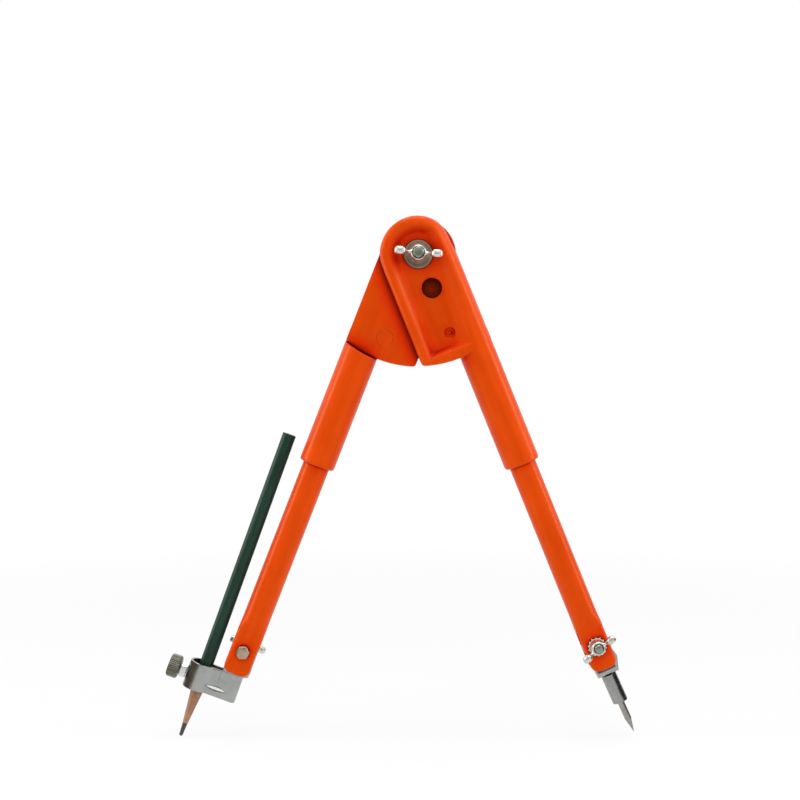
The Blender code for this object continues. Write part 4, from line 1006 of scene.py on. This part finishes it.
def feed(tree, socket, value):
    """Link an output to a socket, or set the socket's own value."""
    if isinstance(value, bpy.types.NodeSocket):
        tree.links.new(value, socket)
    else:
        socket.default_value = (*value, 1.0) if socket.type == "RGBA" else value


def add_node(tree, kind, inputs=None, **settings):
    """Add a shader node, and set or link its inputs."""
    node = tree.nodes.new("ShaderNode" + kind)
    for key, value in settings.items():
        setattr(node, key, value)
    for key, value in (inputs or {}).items():
        feed(tree, node.inputs[key], value)
    return node


def new_material(name):
    """A material and its node tree."""
    material = bpy.data.materials.new(name)
    material.use_nodes = True
    return material, material.node_tree


class Finish:
    """A Principled material whose colour, roughness and bump are painted by nodes."""

    def __init__(self, name, metallic, specular):
        self.material, self.tree = new_material(name)
        self.set("Metallic", metallic)
        self.set("Specular IOR Level", specular)
        self.place = self.node("TexCoord").outputs["Object"]
        self.bumped = None

    def node(self, kind, inputs=None, **settings):
        return add_node(self.tree, kind, inputs, **settings)

    def set(self, key, value):
        """Set or link one input of the shader."""
        feed(self.tree, self.tree.nodes["Principled BSDF"].inputs[key], value)

    def noise(self, scale, detail=4.0, rough=0.55, distortion=0.0):
        """A noise value from 0 to 1, with one scale or a scale along each axis."""
        place = self.place
        if isinstance(scale, tuple):
            place = self.node("Mapping", {"Vector": place, "Scale": scale}).outputs["Vector"]
            scale = 1.0
        return self.node("TexNoise", {"Vector": place, "Scale": scale, "Detail": detail, "Roughness": rough,
                                      "Distortion": distortion}).outputs["Fac"]

    def ramp(self, value, places, colours):
        """A colour ramp over a value."""
        node = self.node("ValToRGB", {"Fac": value})
        elements = node.color_ramp.elements
        while len(elements) < len(places):
            elements.new(0.5)
        for element, place, colour in zip(elements, places, colours):
            element.position = place
            element.color = (*colour, 1.0)
        return node.outputs["Color"]

    def spread(self, value, low, high, start=0.3, end=0.7):
        """Map a value between start and end onto low to high."""
        return self.node("MapRange", {"Value": value, "From Min": start, "From Max": end, "To Min": low,
                                      "To Max": high}).outputs["Result"]

    def maths(self, operation, *values):
        """One arithmetic node."""
        return self.node("Math", dict(enumerate(values)), operation=operation).outputs["Value"]

    def weighed(self, first, second, share):
        """A share of one value and the rest of another."""
        parts = ((first, share), (second, 1 - share))
        return self.maths("ADD", *(self.maths("MULTIPLY", *part) for part in parts))

    def mixed(self, share, first, second):
        """Mix two colours."""
        return self.node("Mix", {0: share, 6: first, 7: second}, data_type="RGBA").outputs[2]

    def bump(self, height, strength, distance):
        """Add a bump on top of any earlier one."""
        inputs = {"Height": height, "Strength": strength, "Distance": distance}
        if self.bumped is not None:
            inputs["Normal"] = self.bumped
        self.bumped = self.node("Bump", inputs).outputs["Normal"]
        self.set("Normal", self.bumped)


def ring_line(finish):
    """1 on the ring mark of a plate's mating face, else 0."""
    parts = finish.node("SeparateXYZ", {"Vector": finish.place}).outputs
    across = finish.maths("SUBTRACT", parts["X"], RING_MARK_X)
    down = finish.maths("ADD", parts["Z"], RING_MARK_DROP)
    squares = finish.maths("ADD", *(finish.maths("MULTIPLY", side, side) for side in (across, down)))
    off = finish.maths("ABSOLUTE", finish.maths("SUBTRACT", finish.maths("SQRT", squares), RING_MARK_RADIUS))
    back = finish.maths("GREATER_THAN", parts["Y"], -2 * MATING_CLEARANCE)
    return finish.maths("MULTIPLY", finish.spread(off, 1.0, 0.0, 0.0, RING_MARK_WIDTH), back)


def moulded_plastic(name, ring_mark=False):
    """Glossy orange moulding: faint flow marks, fine skin and rubbed patches, with painted shade in its
    hollows.
    """
    finish = Finish(name, metallic=0.0, specular=0.30)
    finish.set("Specular Tint", ORANGE_GLOSS)
    flow = finish.weighed(finish.noise(55.0, 3.0), finish.noise((260.0, 260.0, 14.0), 3.0), 0.5)
    tint = finish.ramp(flow, ORANGE_PLACES, ORANGE_TONES)
    # Painted shade: where ambient occlusion finds the surface closed in, the orange is mixed towards deep
    # red, and towards near black inside the hang hole.
    openness = finish.node("AmbientOcclusion", {"Distance": PLATE_DEPTH}).outputs["AO"]
    painted_hollow_shade = finish.mixed(finish.spread(openness, 0.0, 1.0, *HOLE_SHADE_RANGE), HOLE_PAINTED_SHADE, HOLLOW_PAINTED_SHADE)
    finish.set("Base Color", finish.mixed(finish.spread(openness, 0.0, 1.0, *HOLLOW_SHADE_RANGE), painted_hollow_shade, tint))
    finish.set("Roughness", finish.spread(finish.noise(170.0, 6.0, 0.65), 0.28, 0.38))
    finish.bump(finish.noise(1500.0, 2.0), strength=0.10, distance=0.00010)
    finish.bump(finish.noise(120.0, 2.0), strength=0.10, distance=0.0006)
    if ring_mark:
        finish.bump(ring_line(finish), strength=0.8, distance=0.0005)
    finish.set("Subsurface Weight", 0.06)
    finish.set("Subsurface Radius", (1.0, 0.25, 0.08))
    finish.set("Subsurface Scale", 0.0012)
    return finish.material


def patterned(name, colours, places, roughness, pattern, second=None, share=1.0, wear=None, relief=None,
              bump=(0.10, 0.00010), metallic=1.0, specular=0.5):
    """A finish painted by a noise pattern, or by a share of it and a second one.

    Its wear and relief follow the pattern too, unless they have a noise of their
    own. A noise is (scale, detail, roughness, distortion).
    """
    finish = Finish(name, metallic, specular)
    first = finish.noise(*pattern)
    paint = finish.weighed(first, finish.noise(*second), share) if second else first
    finish.set("Base Color", finish.ramp(paint, places, colours))
    finish.set("Roughness", finish.spread(finish.noise(*wear) if wear else paint, *roughness))
    finish.bump(finish.noise(*relief) if relief else first, *bump)
    return finish.material


def plated_steel(name, tone, low, high):
    """Plated steel with a cloudy cast and fine pitting."""
    darker = tuple(channel * shade for channel, shade in zip(tone, PLATE_SHADE))
    lighter = tuple(channel * PLATE_LIGHT for channel in tone)
    return patterned(name, (darker, tone, lighter), PLATE_PLACES, (low, high), pattern=(210.0, 4.0),
                     wear=(420.0, 5.0, 0.65), relief=(1100.0, 2.0), bump=(0.06, 0.00010))


def turned_steel(name, tone, low, high):
    """Steel with fine rings left by turning or grinding."""
    darker, lighter = (tuple(channel * share for channel in tone) for share in (TURNED_SHADE, TURNED_LIGHT))
    return patterned(name, (darker, tone, lighter), TURNED_PLACES, (low, high),
                     pattern=((120.0, 120.0, 5200.0), 3.0, 0.6), second=(240.0, 4.0), share=0.5,
                     bump=(0.05, 0.00006))


def satin_plate():
    """Satin nickel sheet, drawn along its length."""
    return patterned("satin_nickel_sheet", ((0.32, 0.33, 0.32), (0.39, 0.40, 0.385), (0.44, 0.45, 0.44)),
                     (0.36, 0.54, 0.68), (0.24, 0.38), pattern=((350.0, 350.0, 5200.0), 5.0, 0.6),
                     second=(160.0, 3.0), share=0.35, bump=(0.10, 0.00008))


def knob_plate():
    """Dull olive grey plating, streaked darker and lighter along its axis."""
    return patterned("knob_plate", ((0.120, 0.112, 0.085), (0.195, 0.183, 0.145), (0.275, 0.262, 0.215)),
                     PLATE_PLACES, (0.34, 0.46), pattern=((420.0, 420.0, 40.0), 4.0, 0.6),
                     relief=((1500.0, 1500.0, 90.0), 2.0), bump=(0.10, 0.00010))


def green_lacquer():
    """Dark green pencil lacquer with a soft gloss."""
    return patterned("green_lacquer", ((0.006, 0.027, 0.015), (0.009, 0.038, 0.021), (0.014, 0.049, 0.028)),
                     (0.36, 0.54, 0.70), (0.26, 0.42), pattern=((420.0, 420.0, 60.0), 4.0, 0.6),
                     wear=(300.0, 5.0), relief=((900.0, 900.0, 90.0), 2.0), bump=(0.12, 0.00012),
                     metallic=0.0, specular=0.20)


def cedar():
    """Sharpened cedar: straight grain, lines left by the blade."""
    return patterned("cedar", ((0.23, 0.112, 0.062), (0.36, 0.188, 0.110), (0.48, 0.275, 0.178)),
                     (0.34, 0.50, 0.66), (0.62, 0.80), pattern=((1500.0, 1500.0, 60.0), 6.0, 0.6, 0.4),
                     second=((420.0, 420.0, 22.0), 2.0, 0.5), share=0.55, bump=(0.25, 0.00015),
                     metallic=0.0, specular=0.3)


def graphite():
    """Worn graphite with a dull sheen."""
    return patterned("graphite_lead", ((0.030, 0.034, 0.034), (0.055, 0.062, 0.060), (0.095, 0.105, 0.100)),
                     (0.36, 0.54, 0.70), (0.34, 0.55), pattern=(900.0, 5.0, 0.65), bump=(0.25, 0.00010),
                     metallic=0.25)


# Studio

def add_object(name, data):
    """Put an object into the scene."""
    item = bpy.data.objects.new(name, data)
    bpy.context.scene.collection.objects.link(item)
    return item


def add_camera():
    """Level camera at the photograph's viewing angle."""
    data = bpy.data.cameras.new("camera")
    data.sensor_width = CAMERA_SENSOR
    data.lens = CAMERA_LENS
    data.clip_start = 0.01
    data.clip_end = 20.0
    camera = add_object("camera", data)
    camera.location = CAMERA_PLACE
    camera.rotation_euler = (math.radians(90), 0, 0)
    bpy.context.scene.camera = camera


def add_lamp(name, place, size, power, rays):
    """Soft box that faces the middle of the object and serves the rays named."""
    data = bpy.data.lights.new(name, "AREA")
    data.shape = "RECTANGLE"
    data.size, data.size_y = size
    data.energy = power
    lamp = add_object(name, data)
    lamp.location = place
    lamp.rotation_euler = (Vector(STUDIO_AIM) - Vector(place)).to_track_quat("-Z", "Y").to_euler()
    lamp.visible_glossy = "glossy" in rays
    lamp.visible_diffuse = "diffuse" in rays


def seen_directly(tree):
    """1 for camera rays and for mirrored or transmitted ones, else 0."""
    path = add_node(tree, "LightPath").outputs
    seen = path["Is Camera Ray"]
    for kind in ("Is Glossy Ray", "Is Transmission Ray"):
        seen = add_node(tree, "Math", {0: seen, 1: path[kind]}, operation="MAXIMUM").outputs[0]
    return seen


def add_world():
    """Even grey light that the camera and metal see as white."""
    world = bpy.data.worlds.new("studio")
    bpy.context.scene.world = world
    world.use_nodes = True
    tree = world.node_tree
    tree.nodes.clear()
    strength = add_node(tree, "MapRange", {"Value": seen_directly(tree), "To Min": WORLD_LEVEL})
    back = add_node(tree, "Background", {"Color": WHITE, "Strength": strength.outputs["Result"]})
    add_node(tree, "OutputWorld", {"Surface": back.outputs[0]})


def stage_panel(name, size, place, material):
    """Flat square or oblong that belongs to the studio."""
    mesh = bpy.data.meshes.new(name)
    mesh.from_pydata([(-0.5, -0.5, 0), (0.5, -0.5, 0), (0.5, 0.5, 0), (-0.5, 0.5, 0)], [], [(0, 1, 2, 3)])
    mesh.materials.append(material)
    panel = add_object(name, mesh)
    panel.scale = (*size, 1)
    panel.location = place
    return panel


def floor_material():
    """Pale matt floor that shows white away from the object and keeps a faint shadow near it."""
    material, tree = new_material("floor")
    shader = tree.nodes["Principled BSDF"]
    matt = {"Base Color": FLOOR_TONE, "Roughness": FLOOR_ROUGHNESS, "Specular IOR Level": 0.0}
    for key, value in matt.items():
        feed(tree, shader.inputs[key], value)
    where = add_node(tree, "NewGeometry").outputs["Position"]
    length = add_node(tree, "VectorMath", {0: where}, operation="LENGTH").outputs["Value"]
    fade = add_node(tree, "MapRange", {"Value": length, "From Min": FLOOR_FADE_START,
                                       "From Max": FLOOR_FADE_END, "To Min": FLOOR_GLOW})
    share = add_node(tree, "Math", {0: seen_directly(tree), 1: fade.outputs["Result"]}, operation="MULTIPLY")
    glow = add_node(tree, "Emission", {"Strength": 1.0})
    mix = add_node(tree, "MixShader", {0: share.outputs[0], 1: shader.outputs[0], 2: glow.outputs[0]})
    feed(tree, tree.nodes["Material Output"].inputs["Surface"], mix.outputs[0])
    return material


def add_card(name, place, size, colour, turn):
    """Upright card that only reflections see, turned about Z from facing along Y."""
    material, tree = new_material(name)
    tree.nodes.clear()
    glow = add_node(tree, "Emission", {"Color": colour})
    add_node(tree, "OutputMaterial", {"Surface": glow.outputs[0]})
    card = stage_panel(name, size, place, material)
    card.rotation_euler = (math.radians(90), 0, math.radians(turn))
    for kind in ("camera", "diffuse", "transmission", "shadow"):
        setattr(card, "visible_" + kind, False)


def add_studio():
    """Floor, world, lamps, cards and camera."""
    add_camera()
    add_world()
    stage_panel("floor", (FLOOR_SIZE, FLOOR_SIZE), (0, 0, cad_box[0].z), floor_material())
    for card in CARDS:
        add_card(*card)
    for lamp in LAMPS:
        add_lamp(*lamp)
    bpy.context.scene.view_settings.view_transform = "Standard"


def keep_lamp_off(lamp, pieces):
    """Leave pieces that a card shields out of what one lamp lights."""
    group = bpy.data.collections.new(lamp + "_left_out")
    for piece in pieces:
        group.objects.link(bpy.data.objects[piece])
    for member in group.collection_objects:
        member.light_linking.link_state = "EXCLUDE"
    bpy.data.objects[lamp].light_linking.receiver_collection = group


# The object

def add_piece(mesh, name, matrix, body, node, finish, smooth_angle=SMOOTH_ANGLE):
    """Show a mesh as one piece that rides on a body and stands for a node."""
    piece = add_object(name, mesh)
    piece.matrix_world = matrix
    for material in finish if isinstance(finish, list) else [finish]:
        mesh.materials.append(material)
    mesh.shade_smooth()
    mesh.set_sharp_from_angle(angle=math.radians(smooth_angle))
    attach(piece, body)
    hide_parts(node)


def carrier_frames():
    """Matrices of the legs, rods, swivels and holders at rest."""
    frames = {}
    for side, leg, push, turn in (
            ("needle", rotation(-NEEDLE_LEG_TILT, "Y"), NEEDLE_ROD_PUSH, NEEDLE_HOLDER_TURN),
            ("pencil", rotation(180.0, "Z") @ rotation(-PENCIL_LEG_TILT, "Y"), 0, PENCIL_HOLDER_TURN)):
        frames[side + "_leg"] = leg
        frames[side + "_rod"] = leg @ shift(LEG_AXIS_OFFSET, 0, push)
        frames[side + "_swivel"] = leg @ shift(LEG_AXIS_OFFSET, 0, push - SWIVEL_DROP)
        frames[side + "_holder"] = frames[side + "_swivel"] @ rotation(turn, "Y")
    return frames


def seated(carrier, seat, turn=0.0):
    """Where a piece made about Z stands out from a carrier's middle plane."""
    return carrier @ shift(0, -seat, 0) @ rotation(turn, "Y") @ rotation(90.0, "X")


def add_legs(frames, leg_plastic, rod_plastic):
    """Both mouldings and both rods."""
    moulding, rod = leg_mesh(), rod_mesh()
    for side in ("needle", "pencil"):
        leg = side + "_leg"
        add_piece(moulding.copy(), leg + "_moulding", frames[leg], leg + "_body", leg,
                  leg_plastic)
        add_piece(rod.copy(), leg + "_tube", frames[side + "_rod"], leg + "_body", leg + "_rod",
                  rod_plastic)


def add_pivot(frames, zinc, bolt_plate, washer_plate):
    """Main bolt, washers and wing nut."""
    head_seat = HEAD_POCKET_FLOOR + TOUCH_GAP
    add_piece(bolt_mesh(PIVOT, head_seat + PIVOT.tip_out, "pivot_bolt_mesh"), "pivot_hex_bolt",
              frames["pencil_leg"] @ shift(0, -head_seat, 0) @ rotation(-90.0, "X"), "pencil_leg_body",
              "pivot_bolt", bolt_plate, CRISP_ANGLE)
    middle = Matrix()
    seat = RECESS_FLOOR + TOUCH_GAP
    section = ring_profile(PIVOT_BORE, FLAT_WASHER_RADIUS, 0, FLAT_WASHER_THICKNESS, 2 * METAL_EDGE)
    add_piece(turned(section, "flat_washer_mesh", closed=True), "pivot_washer", seated(middle, seat),
              "needle_leg_body", "pivot_flat_washer", washer_plate)
    seat += FLAT_WASHER_THICKNESS + TOUCH_GAP
    add_piece(spring_washer_mesh(), "pivot_split_washer", seated(middle, seat), "pivot_washer_body",
              "pivot_spring_washer", washer_plate)
    seat += SPRING_WASHER_THICKNESS + TOUCH_GAP
    add_piece(wing_nut_mesh(PIVOT, "pivot_nut_mesh"), "pivot_nut", seated(middle, seat, PIVOT_NUT_TURN),
              "pivot_nut_body", "pivot_wing_nut", zinc)


def add_swivel(side, swivel, nut_turn, limit, zinc, bolt_plate):
    """Bolt, washer and wing nut of one swivel. The limit gives the washer teeth."""
    seat = FORK_FACE_OUT + TOUCH_GAP
    node = side + "_swivel_"
    add_piece(bolt_mesh(SWIVEL, SWIVEL.tip_out + seat, side + "_bolt_mesh"), node + "hex_bolt",
              seated(swivel, -seat, SWIVEL_HEAD_TURN), side + "_leg_body", node + "bolt",
              bolt_plate, CRISP_ANGLE)
    section = ring_profile(SWIVEL_BORE, SWIVEL_WASHER_RADIUS, 0, SWIVEL_WASHER_THICKNESS, METAL_EDGE)
    washer = turned(section, side + "_washer_mesh", 2 * TURN_SEGMENTS, limit, closed=True)
    add_piece(washer, side + "_washer", seated(swivel, seat), side + "_washer_body", node + "washer",
              zinc)
    seat += SWIVEL_WASHER_THICKNESS + TOUCH_GAP
    add_piece(wing_nut_mesh(SWIVEL, side + "_nut_mesh"), side + "_nut", seated(swivel, seat, nut_turn),
              side + "_nut_body", node + "wing_nut", zinc)


def add_needle_holder(holder, sheet, steel, point):
    """Bracket, turned body and steel point."""
    for mesh, name, node, slot, finish in (
            (bracket_mesh(), "needle_fork_bracket", "needle_bracket", "satin_sheet", sheet),
            (needle_body_mesh(), "needle_socket", "needle_holder", "satin_sheet", steel),
            (needle_mesh(), "needle_point", "needle", "needle_steel", point)):
        add_piece(mesh, name, holder, "needle_holder_body", node, finish)


def pencil_offset():
    """Where the loop of the band seats two corners of the pencil, outwards from the swivel bolt."""
    inside = BAND_LOOP_RADIUS - SHEET_THICKNESS - TOUCH_GAP
    half_flats = PENCIL_CORNER_RADIUS * math.cos(math.pi / 6)
    seat = math.sqrt(inside ** 2 - half_flats ** 2)
    return BAND_OUTER_END - BAND_LOOP_RADIUS - seat + PENCIL_CORNER_RADIUS / 2


def add_pencil_holder(holder, sheet, zinc):
    """Clamp band, its nut, screw and knob, and the pencil."""
    def along_screw(reach):
        return holder @ shift(reach, 0, -CLAMP_SCREW_DROP) @ rotation(90.0, "Y")

    # Painted highlight: the pressed-in lance strip gets a near-white copy of the plating, so that it shows
    # as a bright glint in its slot.
    bright = plated_steel("lance_strip_painted_highlight", (0.92, 0.92, 0.90), 0.16, 0.26)
    add_piece(mesh_joined("clamp_mesh", band_mesh(), lance_strip_mesh()), "clamp_band", holder,
              "pencil_holder_body", "pencil_clamp_band", [sheet, bright])
    nut_seat = BAND_OUTER_END + TOUCH_GAP
    add_piece(clamp_nut_mesh(), "clamp_hex_nut", along_screw(nut_seat), "pencil_holder_body", "clamp_nut",
              zinc, CRISP_ANGLE)
    offset = pencil_offset()
    tip = offset + PENCIL_CORNER_RADIUS + TOUCH_GAP
    knob_face = nut_seat + CLAMP_NUT_THICKNESS + KNOB_STANDOFF
    add_piece(clamp_screw_mesh(knob_face + KNOB_SOCKET_DEPTH - TOUCH_GAP - tip), "clamp_thumb_screw",
              along_screw(tip), "clamp_screw_body", "clamp_screw", zinc)
    add_piece(knob_mesh(), "clamp_knurled_knob", along_screw(knob_face), "clamp_knob_body", "clamp_knob",
              knob_plate(), KNOB_ANGLE)
    place = holder @ shift(offset)
    add_piece(pencil_mesh(), "pencil", place, "pencil_body", "pencil_casing",
              [green_lacquer(), cedar()], KNOB_ANGLE)
    add_piece(lead_mesh(), "lead", place, "pencil_body", "pencil_lead", graphite())


def main():
    """Build the whole scene."""
    add_studio()
    frames = carrier_frames()
    zinc = plated_steel("bright_zinc_plate", (0.66, 0.65, 0.61), 0.20, 0.36)
    bolt_plate = plated_steel("green_zinc_plate", (0.28, 0.30, 0.25), 0.24, 0.36)
    washer_plate = plated_steel("washer_plate", (0.32, 0.26, 0.20), 0.26, 0.38)
    head_plate = plated_steel("head_plate", (0.44, 0.34, 0.26), 0.26, 0.38)
    sheet = satin_plate()
    add_legs(frames, moulded_plastic("orange_moulding_skin", True), moulded_plastic("orange_rod_skin"))
    add_pivot(frames, zinc, bolt_plate, washer_plate)
    add_swivel("needle", frames["needle_swivel"], NEEDLE_NUT_TURN, toothed_shape(SWIVEL_WASHER_RADIUS), zinc,
               bolt_plate)
    add_swivel("pencil", frames["pencil_swivel"], PENCIL_NUT_TURN, None, zinc, head_plate)
    add_needle_holder(frames["needle_holder"], sheet,
                      turned_steel("turned_nickel", (0.31, 0.31, 0.295), 0.20, 0.34),
                      turned_steel("ground_needle", (0.34, 0.32, 0.29), 0.20, 0.36))
    add_pencil_holder(frames["pencil_holder"], sheet, zinc)
    for lamp, pieces in SHIELDED.items():
        keep_lamp_off(lamp, pieces)
    for node in ("needle_swivel_spacer", "pencil_swivel_spacer"):
        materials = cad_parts[node].data.materials
        materials.clear()
        materials.append(zinc)


main()
